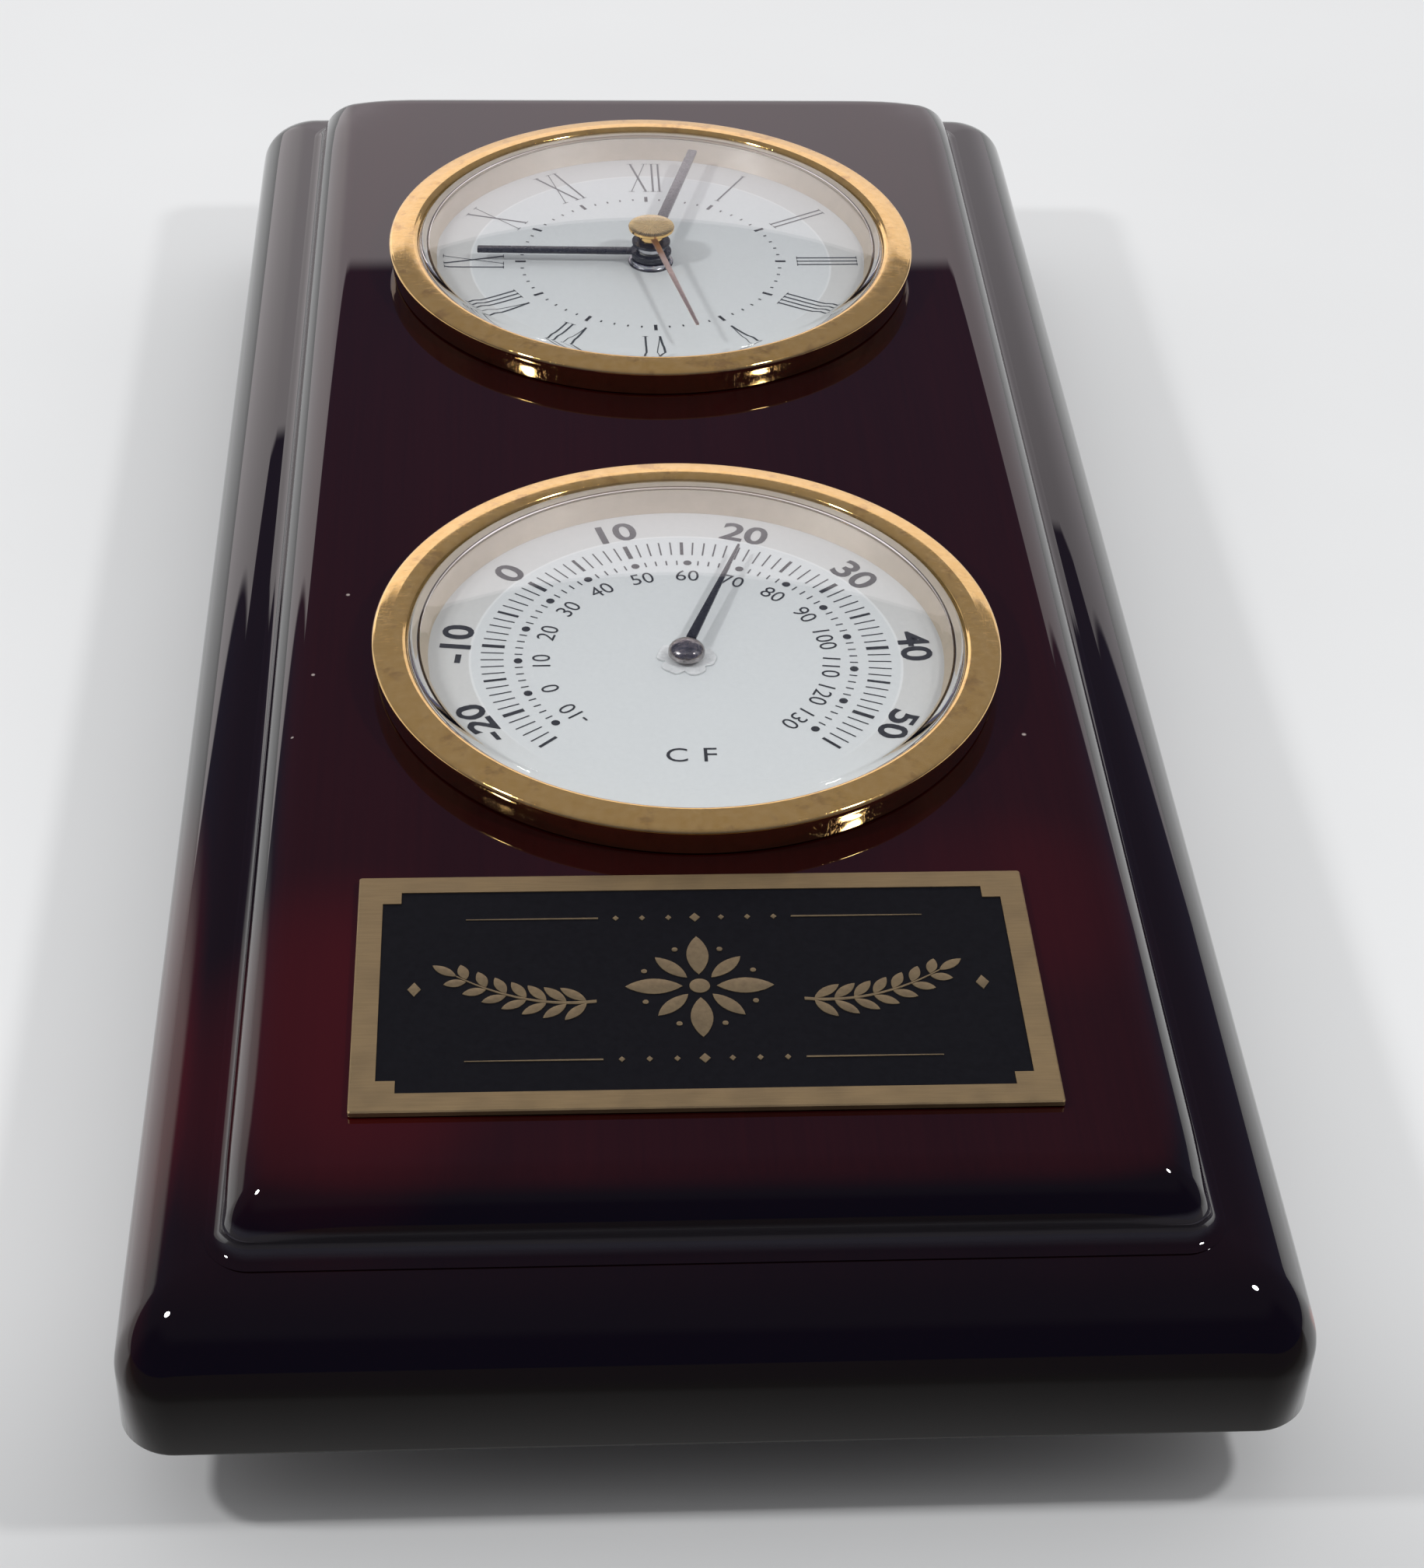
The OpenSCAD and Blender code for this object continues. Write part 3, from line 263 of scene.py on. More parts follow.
class Nodes:
    """Makes and joins the nodes of one tree; a value is a number, a colour or a socket."""

    def __init__(self, tree):
        self.tree = tree

    def node(self, kind, inputs=None, **settings):
        made = self.tree.nodes.new(kind)
        for key, value in settings.items():
            setattr(made, key, value)
        for key, value in (inputs or {}).items():
            self.put(made.inputs[key], value)
        return made

    def put(self, socket, value):
        if isinstance(value, bpy.types.NodeSocket):
            self.tree.links.new(value, socket)
        else:
            socket.default_value = value

    def math(self, operation, a, b=0.0, clamp=False):
        made = self.node("ShaderNodeMath", {0: a, 1: b}, operation=operation, use_clamp=clamp)
        return made.outputs["Value"]

    def plus(self, total, *others):
        for other in others:
            total = self.math("ADD", total, other)
        return total

    def times(self, total, *others):
        for other in others:
            total = self.math("MULTIPLY", total, other)
        return total

    def span(self, value, low, high, to_low=0.0, to_high=1.0, smooth=True):
        """Carries the range from low to high over to another; low may be the greater of the two."""
        return self.node("ShaderNodeMapRange", {"Value": value, "From Min": low, "From Max": high,
                                                "To Min": to_low, "To Max": to_high},
                         interpolation_type="SMOOTHSTEP" if smooth else "LINEAR").outputs["Result"]

    def band(self, value, start, full, fade, end):
        """One from full to fade, nothing before start and past end."""
        return self.times(self.span(value, start, full), self.span(value, end, fade))

    def split(self, vector):
        return self.node("ShaderNodeSeparateXYZ", {"Vector": vector}).outputs

    def mix(self, fac, a, b, blend="MIX"):
        a, b = [(*c, 1) if isinstance(c, tuple) else c for c in (a, b)]
        return self.node("ShaderNodeMix", {MIX_FACTOR: fac, MIX_A: a, MIX_B: b}, data_type="RGBA",
                         blend_type=blend).outputs[MIX_OUT]


class Look(Nodes):
    """A principled material and the nodes that drive it."""

    def __init__(self, name, **values):
        self.mat = bpy.data.materials.new(name)
        self.mat.use_nodes = True
        super().__init__(self.mat.node_tree)
        self.shader = self.tree.nodes["Principled BSDF"]
        for key, value in values.items():
            self.shader.inputs[key.replace("_", " ")].default_value = value
        self.coord = self.tree.nodes.new("ShaderNodeTexCoord").outputs["Object"]

    def axes(self):
        return self.split(self.coord)

    def normal_z(self):
        """One on faces that look up, nothing on walls."""
        return self.split(self.node("ShaderNodeNewGeometry").outputs["Normal"])["Z"]

    def noise(self, scale, stretch=(1, 1, 1), detail=3.0, rough=0.55, shift=(0, 0, 0), distort=0.0):
        """Noise; scale is in features a millimetre."""
        place = self.node("ShaderNodeMapping", {
            "Vector": self.coord, "Scale": tuple(1000 * scale * s for s in stretch), "Location": shift})
        return self.node("ShaderNodeTexNoise", {
            "Vector": place.outputs["Vector"], "Scale": 1.0, "Detail": detail, "Roughness": rough,
            "Distortion": distort}).outputs["Fac"]

    def ramp(self, fac, *stops):
        """Colours or greys at places from 0 to 1."""
        made = self.node("ShaderNodeValToRGB", {"Fac": fac})
        elements = made.color_ramp.elements
        while len(elements) < len(stops):
            elements.new(0.5)
        for element, (at, value) in zip(elements, stops):
            element.position = at
            element.color = (*value, 1) if isinstance(value, tuple) else (value, value, value, 1)
        return made.outputs["Color"]

    def drive(self, socket, value):
        self.put(self.shader.inputs[socket], value)

    def bump(self, height, distance, strength=1.0, socket="Normal"):
        """Relief; distance is in millimetres."""
        made = self.node("ShaderNodeBump", {"Height": height, "Distance": distance * MM,
                                            "Strength": strength})
        self.drive(socket, made.outputs["Normal"])

    def cover(self, share, under, over):
        """Puts a mix of two shaders on the surface."""
        mixed = self.node("ShaderNodeMixShader", {0: share, 1: under, 2: over}).outputs["Shader"]
        self.put(self.tree.nodes["Material Output"].inputs["Surface"], mixed)
        return mixed


# Materials

# Small marks in the lacquer: place and radius, in millimetres
LACQUER_SPECKS = (((-42.7, -19.3), 0.32), ((-46.4, -36.7), 0.30), ((36.1, -23.2), 0.30),
                  ((37.4, -27.3), 0.26), ((41.6, -50.3), 0.34), ((-48.4, -49.0), 0.24))
CHIP_PLACE = (63.0, -133.4)
CHIP_R = 1.5
# Heights and places in metres: start, full, fade and end of a band
CHIP_HEIGHTS = (0.0203, 0.0212, 0.0229, 0.0240)
PANEL_FOOT_HEIGHTS = (0.0293, 0.0302, 0.0318, 0.0325)
# Places along the length between which the wood keeps its tone; past them the painted shade of the ends
# sets in
UNSHADED_BETWEEN_ENDS = (-0.1385, -0.127, 0.127, 0.1385)


def lacquer(name, face_z, stain, shade_depth):
    """Smooth dark red stained wood under thick clear lacquer; the rounds and both ends are painted darker,
    as painted shade.
    """
    look = Look(name, Roughness=0.6, Coat_Weight=1.0, Coat_IOR=1.6, Coat_Roughness=0.003,
                Specular_IOR_Level=0.0)
    x, y, z = look.axes()
    fine = look.noise(1.6, (1, 0.018, 1), 3.0, 0.6)
    broad = look.noise(0.05, (1, 0.12, 1), 3.0, 0.5, distort=0.4)
    grain = look.plus(look.times(fine, 0.35), look.times(broad, 0.65))
    tone = look.ramp(grain, (0.34, tuple(0.80 * c for c in stain)), (0.66, tuple(1.2 * c for c in stain)))
    # Painted shade: the colour goes nearly black down the rounds and at both ends
    face = look.span(z, (face_z - shade_depth) * MM, (face_z - 0.25) * MM)
    tone = look.mix(look.times(face, look.band(y, *UNSHADED_BETWEEN_ENDS)), (0.0028, 0.0005, 0.0005), tone)

    def patch(centre, reach, gain):
        """Share of a soft oval; sizes are in millimetres."""
        dx = look.math("DIVIDE", look.math("SUBTRACT", x, centre[0] * MM), reach[0] * MM)
        dy = look.math("DIVIDE", look.math("SUBTRACT", y, centre[1] * MM), reach[1] * MM)
        far = look.plus(look.times(dx, dx), look.times(dy, dy))
        return look.times(look.span(far, 1.0, 0.0), gain)

    # Painted sheen: redder, brighter patches where the wood's glow shows, broken up by the grain
    glow_sheen = look.plus(patch((-41, -102), (24, 30), 0.8), patch((36, -82), (20, 20), 0.3))
    glow_sheen = look.math("ADD", glow_sheen, patch((-62, -92), (5.5, 52), 1.0), clamp=True)
    glow_sheen = look.times(glow_sheen, look.span(broad, 0.3, 0.7, 0.6, 1.0))
    tone = look.mix(glow_sheen, tone, (0.052, 0.0022, 0.0022))
    for place, size in LACQUER_SPECKS:
        tone = look.mix(patch(place, (size, size), 0.9), tone, (0.42, 0.36, 0.34))
    chip = look.times(patch(CHIP_PLACE, (CHIP_R, CHIP_R), 1.0), look.band(z, *CHIP_HEIGHTS))
    tone = look.mix(chip, tone, (0.24, 0.06, 0.04))
    tone = look.mix(look.band(z, *PANEL_FOOT_HEIGHTS), tone, (0.030, 0.027, 0.031))
    look.drive("Base Color", tone)
    wave = look.noise(0.045, (1, 0.5, 1), 2.0, 0.4)
    look.bump(wave, 0.02, 1.0, "Coat Normal")
    look.bump(fine, 0.006, 0.4)
    return look.mat


def satin_back():
    """Sealed but unpolished underside of the board."""
    look = Look("lacquer_back", Roughness=0.45)
    fine = look.noise(1.1, (1, 0.03, 1), 4.0, 0.6)
    look.drive("Base Color", look.ramp(fine, (0.3, (0.016, 0.007, 0.006)), (0.7, (0.035, 0.015, 0.012))))
    look.drive("Roughness", look.ramp(look.noise(0.2), (0.3, 0.38), (0.7, 0.58)))
    look.bump(fine, 0.05, 0.6)
    return look.mat


def bore_wood():
    """Bare wood fibre inside the bores."""
    look = Look("bore_wood", Roughness=0.8)
    fine = look.noise(1.4, (1, 1, 0.2), 5.0, 0.7)
    look.drive("Base Color", look.ramp(fine, (0.3, (0.10, 0.052, 0.03)), (0.7, (0.21, 0.12, 0.07))))
    look.bump(fine, 0.12, 0.8)
    return look.mat


def metal(name, low, high, rough, streak=(1, 1, 1), scale=0.8, relief=0.004, scratch=0.5, **values):
    """Plated metal: two tints, uneven polish, hairline scratches."""
    look = Look(name, **{"Metallic": 1.0, "Roughness": rough[0], **values})
    tint = look.noise(scale, streak, 4.0, 0.6)
    look.drive("Base Color", look.ramp(tint, (0.3, low), (0.7, high)))
    hair = look.noise(1.0, (9, 0.35, 1), 2.0, 0.5, distort=1.2)
    cross = look.noise(1.0, (0.5, 8, 1), 2.0, 0.5, shift=(5, 2, 3), distort=0.9)
    lines = look.math("MAXIMUM", look.span(hair, 0.60, 0.70), look.span(cross, 0.62, 0.72))
    polish = look.ramp(look.noise(0.25), (0.35, rough[0]), (0.75, rough[1]))
    look.drive("Roughness", look.plus(polish, look.times(lines, scratch * 0.1)))
    look.bump(look.plus(tint, look.times(lines, 0.6)), relief, 0.6)
    return look


def gold():
    """Polished plate with shallow dents and a little tarnish, a purer metal on its walls."""
    look = metal("polished_gold", (0.88, 0.54, 0.17), (0.97, 0.63, 0.24), (0.045, 0.10), relief=0.003,
                 Metallic=0.78, Coat_Weight=0.5, Coat_IOR=1.5, Coat_Roughness=0.03)
    look.bump(look.noise(0.16, detail=2.0, rough=0.5), 0.05, 1.0, "Coat Normal")
    tint = look.shader.inputs["Base Color"].links[0].from_socket
    blotch = look.noise(0.30, detail=5.0, rough=0.62, shift=(4, 1, 2))
    stain = look.span(blotch, 0.54, 0.70, 0.0, 0.55)
    look.drive("Base Color", look.mix(stain, tint, (0.52, 0.29, 0.12)))
    look.drive("Metallic", look.span(look.normal_z(), 0.2, 0.7, 1.0, 0.78))
    return look.mat


def turned_gold():
    """Cap turned on a lathe: the brushing runs round the clock's centre."""
    look = Look("turned_gold", Metallic=1.0, Roughness=0.24)
    x, y, z = look.axes()
    dx = look.math("SUBTRACT", x, CLOCK.x * MM)
    dy = look.math("SUBTRACT", y, CLOCK.y * MM)
    angle = look.math("ARCTAN2", dy, dx)
    ray = look.node("ShaderNodeCombineXYZ", {"X": look.math("COSINE", angle),
                                             "Y": look.math("SINE", angle)})
    fine = look.node("ShaderNodeTexNoise", {"Vector": ray.outputs["Vector"], "Scale": 22.0, "Detail": 3.0,
                                            "Roughness": 0.6}).outputs["Fac"]
    look.drive("Base Color", look.ramp(fine, (0.3, (0.78, 0.55, 0.22)), (0.7, (0.96, 0.78, 0.42))))
    look.drive("Roughness", look.ramp(fine, (0.3, 0.2), (0.7, 0.34)))
    look.bump(fine, 0.02, 0.5)
    return look.mat


def clear_plastic():
    """Clear plastic; light for what lies behind passes it unbent, less of it at steep places."""
    look = Look("clear_lens", Roughness=0.0, IOR=1.42, Transmission_Weight=1.0, Base_Color=(1, 1, 1, 1))
    look.drive("Roughness", look.ramp(look.noise(0.12), (0.45, 0.0), (0.8, 0.035)))
    level = look.math("ABSOLUTE", look.normal_z())
    through = look.node("ShaderNodeBsdfTransparent", {"Color": look.ramp(level, (0.5, 0.70), (0.97, 0.97))})
    path = look.node("ShaderNodeLightPath").outputs
    lighting = look.math("MAXIMUM", path["Is Shadow Ray"], path["Is Diffuse Ray"])
    look.cover(lighting, look.shader.outputs["BSDF"], through.outputs["BSDF"])
    return look.mat


def plain(name, low, high, rough, scale, relief, **values):
    """Moulded, printed or painted stuff: two close tints, uneven gloss, fine relief."""
    look = Look(name, **values)
    tint = look.noise(scale, detail=4.0, rough=0.6)
    look.drive("Base Color", look.ramp(tint, (0.3, low), (0.7, high)))
    gloss, spread = look.noise(scale * 0.4), 0.08
    look.drive("Roughness", look.ramp(gloss, (0.3, rough - spread), (0.7, rough + spread)))
    look.bump(tint, relief, 0.6)
    return look.mat


def dial_card():
    """Printed card with painted light from the lens's thick rim: outside a fine round line its far half is
    a shade darker and warmer, a painted shadow, and the line itself is a painted light.
    """
    look = Look("dial_card", Roughness=0.62)
    x, y, z = look.axes()
    rim_shadow, caustic_ring = 0.0, 0.0
    for centre in (CLOCK, THERMO):
        dx, dy = look.math("SUBTRACT", x, centre.x * MM), look.math("SUBTRACT", y, centre.y * MM)
        off = look.math("SQRT", look.plus(look.times(dx, dx), look.times(dy, dy)))
        far_half = look.times(look.span(dy, -0.024, -0.006), look.span(off, 0.0380, 0.0375))
        rim_shadow = look.plus(rim_shadow, look.times(look.span(off, 0.0273, 0.0276), far_half))
        caustic_ring = look.plus(caustic_ring, look.times(look.band(off, 0.0271, 0.0273, 0.0274, 0.0276), far_half))
    tint = look.noise(1.5, detail=4.0, rough=0.6)
    tone = look.ramp(tint, (0.3, (0.63, 0.66, 0.67)), (0.7, (0.66, 0.69, 0.70)))
    # Painted shadow of the lens rim outside the ring, and a painted light line along the ring
    tone = look.mix(rim_shadow, tone, look.mix(1.0, tone, (0.92, 0.89, 0.865), "MULTIPLY"))
    look.drive("Base Color", look.mix(look.times(caustic_ring, 0.4), tone, (0.84, 0.85, 0.85)))
    look.bump(tint, 0.006, 0.6)
    return look.mat


PANEL_WOOD = lacquer("lacquered_panel", PANEL_HIGH.z, (0.0150, 0.00135, 0.00135), 1.6)
BASE_WOOD = lacquer("lacquered_base", BASE_HIGH.z, (0.0058, 0.0008, 0.0008), 4.0)
BACK = satin_back()
BORE = bore_wood()
GOLD = gold()
CAP_GOLD = turned_gold()
GLASS = clear_plastic()
CREAM = plain("cream_plastic", (0.45, 0.385, 0.29), (0.51, 0.43, 0.33), 0.38, 0.5, 0.01)
CARD = dial_card()
INK = plain("dial_ink", (0.016, 0.018, 0.022), (0.030, 0.033, 0.038), 0.5, 2.0, 0.004)
FINE_INK = plain("fine_ink", (0.030, 0.036, 0.042), (0.050, 0.060, 0.068), 0.5, 2.0, 0.004)
BLACK = plain("hand_black", (0.012, 0.013, 0.016), (0.022, 0.024, 0.028), 0.27, 1.2, 0.006)
HUB = metal("hub_dark", (0.20, 0.18, 0.18), (0.52, 0.49, 0.48), (0.10, 0.22), scale=1.0, relief=0.14).mat
ROSE = metal("second_rose", (0.56, 0.44, 0.40), (0.68, 0.54, 0.49), (0.3, 0.42), scale=1.5).mat
STEEL = metal("collar_steel", (0.50, 0.50, 0.52), (0.66, 0.66, 0.68), (0.14, 0.28), scale=1.5).mat
WASHER = plain("washer_film", (0.62, 0.64, 0.65), (0.78, 0.80, 0.81), 0.3, 1.5, 0.02, IOR=1.45)
BRASS = metal("nameplate_brass", (0.42, 0.30, 0.15), (0.49, 0.35, 0.18), (0.42, 0.58), (0.25, 5, 1),
              scale=0.9, relief=0.006, scratch=0.3, Metallic=0.85).mat
FIELD = plain("nameplate_field", (0.0045, 0.0045, 0.0065), (0.0065, 0.0065, 0.0090), 0.5, 1.4, 0.01,
              Specular_IOR_Level=0.08)
MOTIF = metal("nameplate_motif", (0.30, 0.225, 0.13), (0.39, 0.295, 0.165), (0.45, 0.62), scale=1.5,
              relief=0.01, scratch=0.2, Metallic=0.85).mat
RUBBER = plain("black_rubber", (0.012, 0.012, 0.012), (0.026, 0.026, 0.026), 0.72, 1.2, 0.05)
PLASTIC = plain("black_plastic", (0.014, 0.014, 0.015), (0.024, 0.024, 0.026), 0.42, 1.6, 0.03)
ZINC = metal("zinc_steel", (0.46, 0.47, 0.50), (0.60, 0.61, 0.64), (0.26, 0.42), scale=0.5, relief=0.02).mat
FOAM = plain("foam_tape", (0.60, 0.59, 0.54), (0.72, 0.71, 0.66), 0.9, 1.6, 0.06)
NYLON = plain("nylon", (0.68, 0.67, 0.62), (0.78, 0.77, 0.72), 0.45, 0.9, 0.015)
GREEN = plain("circuit_green", (0.010, 0.075, 0.032), (0.020, 0.12, 0.055), 0.35, 1.6, 0.02)
COPPER = metal("copper_wire", (0.52, 0.20, 0.085), (0.76, 0.36, 0.18), (0.25, 0.4), (14, 0.5, 0.5),
               scale=0.6, relief=0.04).mat
MAGNET = plain("magnet_dark", (0.05, 0.05, 0.055), (0.10, 0.10, 0.105), 0.5, 1.2, 0.02, Metallic=0.6)
CELL = metal("battery_steel", (0.62, 0.62, 0.63), (0.74, 0.74, 0.75), (0.18, 0.3), scale=0.8).mat
CONTACT = metal("contact_brass", (0.66, 0.50, 0.25), (0.78, 0.62, 0.34), (0.22, 0.36), scale=0.8).mat
BIMETAL = metal("bimetal", (0.44, 0.40, 0.35), (0.60, 0.54, 0.47), (0.24, 0.4), (1, 1, 6),
                scale=0.9, relief=0.01).mat

# Looks of the CAD nodes; the nodes that aren't listed are nylon
NODE_LOOKS = (
    (BASE_WOOD, "base_board front_panel"),
    (BRASS, "nameplate"),
    (FOAM, "nameplate_adhesive"),
    (ZINC, "hanger_plate hanger_screws foot_screws mounting_nut movement_screws stator thermo_bracket"),
    (RUBBER, "rubber_feet clock_gasket thermo_gasket"),
    (PLASTIC, "clock_case thermo_case battery_cover movement_front movement_back setting_knob"),
    (GOLD, "clock_bezel thermo_bezel second_hand"),
    (GLASS, "clock_lens thermo_lens"),
    (CREAM, "clock_spacer thermo_spacer"),
    (CARD, "clock_dial thermo_dial"),
    (BLACK, "hour_hand minute_hand thermo_pointer"),
    (GREEN, "circuit_board"),
    (COPPER, "drive_coil"),
    (MAGNET, "rotor"),
    (CELL, "battery"),
    (CONTACT, "battery_contacts pointer_arbor"),
    (BIMETAL, "bimetal_coil"),
    (WASHER, "hub_washer"),
)
LOOK_OF = {name: look for look, names in NODE_LOOKS for name in names.split()}
for name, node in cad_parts.items():
    node.data.materials.clear()
    node.data.materials.append(LOOK_OF.get(name, NYLON))


# Wooden tiers

def eased_steps(round_r, drop, end, tail, steps):
    """(inset, fall) pairs up a round of the given drop that runs out in a gentle tail."""
    foot = math.acos(1 - drop / round_r)
    pairs = []
    for i in range(steps + 1):
        a = foot * (1 - i / steps)
        pairs.append((round_r * (math.sin(foot) - math.sin(a)), round_r * (1 - math.cos(a))))
    reach, tail_steps = pairs[-1][0], 12
    pairs += [(reach + (end - reach) * i / tail_steps, 0.0) for i in range(1, tail_steps + 1)]
    return [(inset, fall + tail(inset)) for inset, fall in pairs]


def base_tail(inset):
    """Face of the lower tier: about 10 degrees down from the upper tier's foot."""
    slope, foot, end = 0.18, 11.4, 15.0
    if inset > foot:
        return slope * (end - inset) ** 2 / (2 * (end - foot))
    return slope * (foot - inset) + slope * (end - foot) / 2


# Numbers of a tier's materials; its front is 0
BACK_MAT, BORE_MAT = 1, 2
# Spread of the wear round a corner, in square millimetres
WEAR_SPREAD = 50


def board(build, low, high, corner, steps, chamfer, worn, seat=None):
    """A tier: rounded front edge, corners worn lower, bores through it, chamfered back edge."""
    half_w, half_h = (high.x - low.x) / 2, (high.y - low.y) / 2
    top = high.z

    def loop(inset, z, wear=0.0):
        """Ring round the tier, lowered at the corners by the wear."""
        radius = max(corner - 0.45 * inset, 0.4 * corner)
        ring = []
        for x, y in rounded_loop(half_w - inset, half_h - inset, radius, between=24):
            near = ((half_w - abs(x)) ** 2 + (half_h - abs(y)) ** 2) / WEAR_SPREAD
            ring.append((x, y, z - wear * math.exp(-near)))
        return build.ring(ring)

    rings = [loop(chamfer, low.z), loop(0.3 * chamfer, low.z + 0.3 * chamfer), loop(0, low.z + chamfer)]
    rings += [loop(inset, top - fall, worn) for inset, fall in steps]
    rings.append(loop(steps[-1][0] + 0.6, top))
    for a, b in zip(rings, rings[1:]):
        build.skin(a, b)
    tops, bottoms = [rings[-1]], [rings[0]]
    for centre, phase in ((CLOCK, 0.3), (THERMO, 0.7)):
        bore = circle(BORE_R, centre, phase=phase)
        up = build.ring((x, y, top) for x, y in circle(BORE_R + BORE_EASE, centre, phase=phase))
        lip = build.ring((x, y, top - BORE_EASE) for x, y in bore)
        down = build.ring((x, y, low.z) for x, y in bore)
        build.skin(up, lip, BORE_MAT)
        build.skin(lip, down, BORE_MAT)
        tops.append(up)
        bottoms.append(down)
    if seat:
        bottoms.append(seat(build, low.z))
    build.fill(*tops)
    build.fill(*bottoms, mat=BACK_MAT)


def hanger_seat(build, z):
    """Let-in seat of the hanger plate, and the pocket behind its keyhole."""
    low, high = box_mm("hanger_plate")
    middle = (low + high) / 2
    gap, corner, seat_z, pocket_z = 0.15, 2, high.z + 0.02, high.z + 7.0
    rim = rounded_loop((high.x - low.x) / 2 + gap, (high.y - low.y) / 2 + gap, corner + gap,
                       (middle.x, middle.y))
    pocket = rounded_loop(5.4, 7.4, 5.3, (middle.x, middle.y))
    mouth, seat = (build.ring((x, y, height) for x, y in rim) for height in (z, seat_z))
    hole, end = (build.ring((x, y, height) for x, y in pocket) for height in (seat_z, pocket_z))
    build.skin(mouth, seat, BORE_MAT)
    build.fill(seat, hole, mat=BORE_MAT)
    build.skin(hole, end, BORE_MAT)
    build.fill(end, mat=BORE_MAT)
    return mouth


piece = Build()
front = eased_steps(round_r=7.6, drop=7.6, end=15.0, tail=base_tail, steps=30)
board(piece, BASE_LOW, BASE_HIGH, 6.0, front, chamfer=0.6, worn=0.5, seat=hanger_seat)
piece.finish("base_tier", [BASE_WOOD, BACK, BORE], replaces=["base_board"], angle=40)

piece = Build()
front = eased_steps(round_r=6.1, drop=4.5, end=12.0, tail=lambda inset: 0.0, steps=24)
board(piece, PANEL_LOW, PANEL_HIGH, PANEL_CORNER, front, chamfer=0.15, worn=1.6)
piece.finish("panel_tier", [PANEL_WOOD, BACK, BORE], replaces=["front_panel"], angle=40)

# Cove where the panel stands on the base; points are (distance outward, height) at the panel's foot
COVE_R, COVE_SINK, COVE_STEPS = 2.15, 0.45, 12
COVE_BACK, COVE_BOTTOM = -0.4, -0.75
cove = [(COVE_BACK, COVE_R - COVE_SINK), (0.01, COVE_R - COVE_SINK)]
for i in range(1, COVE_STEPS + 1):
    a = math.radians(80 * i / COVE_STEPS)
    cove.append((COVE_R * (1 - math.cos(a)), COVE_R * (1 - math.sin(a)) - COVE_SINK))
cove_front = cove[-1][0] + 0.25
cove += [(cove_front, -0.52), (cove_front, COVE_BOTTOM), (COVE_BACK, COVE_BOTTOM)]
piece = Build()
half_w, half_h = (PANEL_HIGH.x - PANEL_LOW.x) / 2, (PANEL_HIGH.y - PANEL_LOW.y) / 2
rings = [piece.ring((x, y, PANEL_LOW.z + z)
                    for x, y in rounded_loop(half_w + out, half_h + out, PANEL_CORNER + out))
         for out, z in cove]
for k in range(len(rings)):
    piece.skin(rings[k], rings[(k + 1) % len(rings)])
piece.finish("panel_foot_bead", BASE_WOOD, angle=60)


# Bezels, lenses, spacers, dials

def arc(cx, cz, r, start, end, n):
    """Profile points on an arc, its angles in degrees from outward towards up."""
    return [(cx + r * math.cos(math.radians(start + (end - start) * i / n)),
             cz + r * math.sin(math.radians(start + (end - start) * i / n))) for i in range(n + 1)]


def lathed(name, profile, z, centre, segments, look, replaced, angle=32):
    """Piece turned from one profile, in the place of one CAD node."""
    piece = Build()
    piece.lathe(lifted(profile, z), centre, segments)
    piece.finish(name, look, replaces=[replaced], angle=angle)


def insert(kind, centre):
    """Gold ring, domed lens and cream spacer, in heights above the panel's face, and the dial."""
    ring = [(38.70, 0.15), (38.95, 0.15)] + arc(39.02, 0.33, 0.16, -80, 0, 3)
    ring += [(39.30, 1.6), (39.50, 2.7)] + arc(39.08, 3.45, 0.62, 5, 78, 8)
    ring += [(38.4, 4.13), (37.5, 4.32), (37.3, 4.34)] + arc(36.1, 3.45, 0.95, 92, 150, 14)
    ring += [(35.12, 3.70), (35.08, 3.62), (38.70, 3.62)]
    lathed(kind + "_gold_bezel", ring, FACE_Z, centre, 256, GOLD, kind + "_bezel", 26)

    crown, hollow, rise, edge = 8.0, 6.8, 3.9, 35.0
    sphere = (edge * edge + rise * rise) / (2 * rise)

    def dome(r, top):
        """Height of a dome of the given top at a radius."""
        return top - (sphere - math.sqrt(sphere * sphere - r * r))

    outer = [(0, crown)] + [(r, dome(r, crown)) for r in (4, 8, 12, 16, 20, 24, 27, 30, 32, 33.4)]
    outer += arc(34.25, dome(34.25, crown) - 0.70, 0.73, 72, 6, 6)
    outer += [(35.0, 3.62), (38.2, 3.6), (38.2, 2.62)]
    inner = [(33.8, 2.62), (33.8, 2.72)] + arc(33.2, 2.66, 0.6, 8, 70, 4)
    inner += [(r, dome(r, hollow)) for r in (32, 30, 27, 24, 20, 16, 12, 8, 4)] + [(0, hollow)]
    shell = outer + inner
    lathed(kind + "_domed_lens", shell, FACE_Z, centre, 192, GLASS, kind + "_lens", 50)

    cone = [(33.0, -0.58), (34.6, -0.58), (34.9, 1.1), (38.1, 1.22), (38.1, 2.6), (35.5, 2.6)]
    cone += [(35.15, 2.52), (34.4, 1.45), (33.7, 0.45), (33.25, -0.2)]
    lathed(kind + "_cream_spacer", cone, FACE_Z, centre, 192, CREAM, kind + "_spacer", 40)

    hole = 2.7 if kind == "clock" else 0.75
    ease, thick, rim = 0.03, 0.8, 34.5
    disc = [(hole, -thick), (hole, -ease), (hole + ease, 0), (rim - ease, 0), (rim, -ease), (rim, -thick)]
    lathed(kind + "_printed_dial", disc, DIAL_Z, centre, 192, CARD, kind + "_dial")


insert("clock", CLOCK)
insert("thermo", THERMO)


# Clock printing

def tick(build, angle, start, end, width, centre):
    """Printed radial stroke between two radii."""
    build.bar(turned(angle, start, centre), turned(angle, end, centre), width)


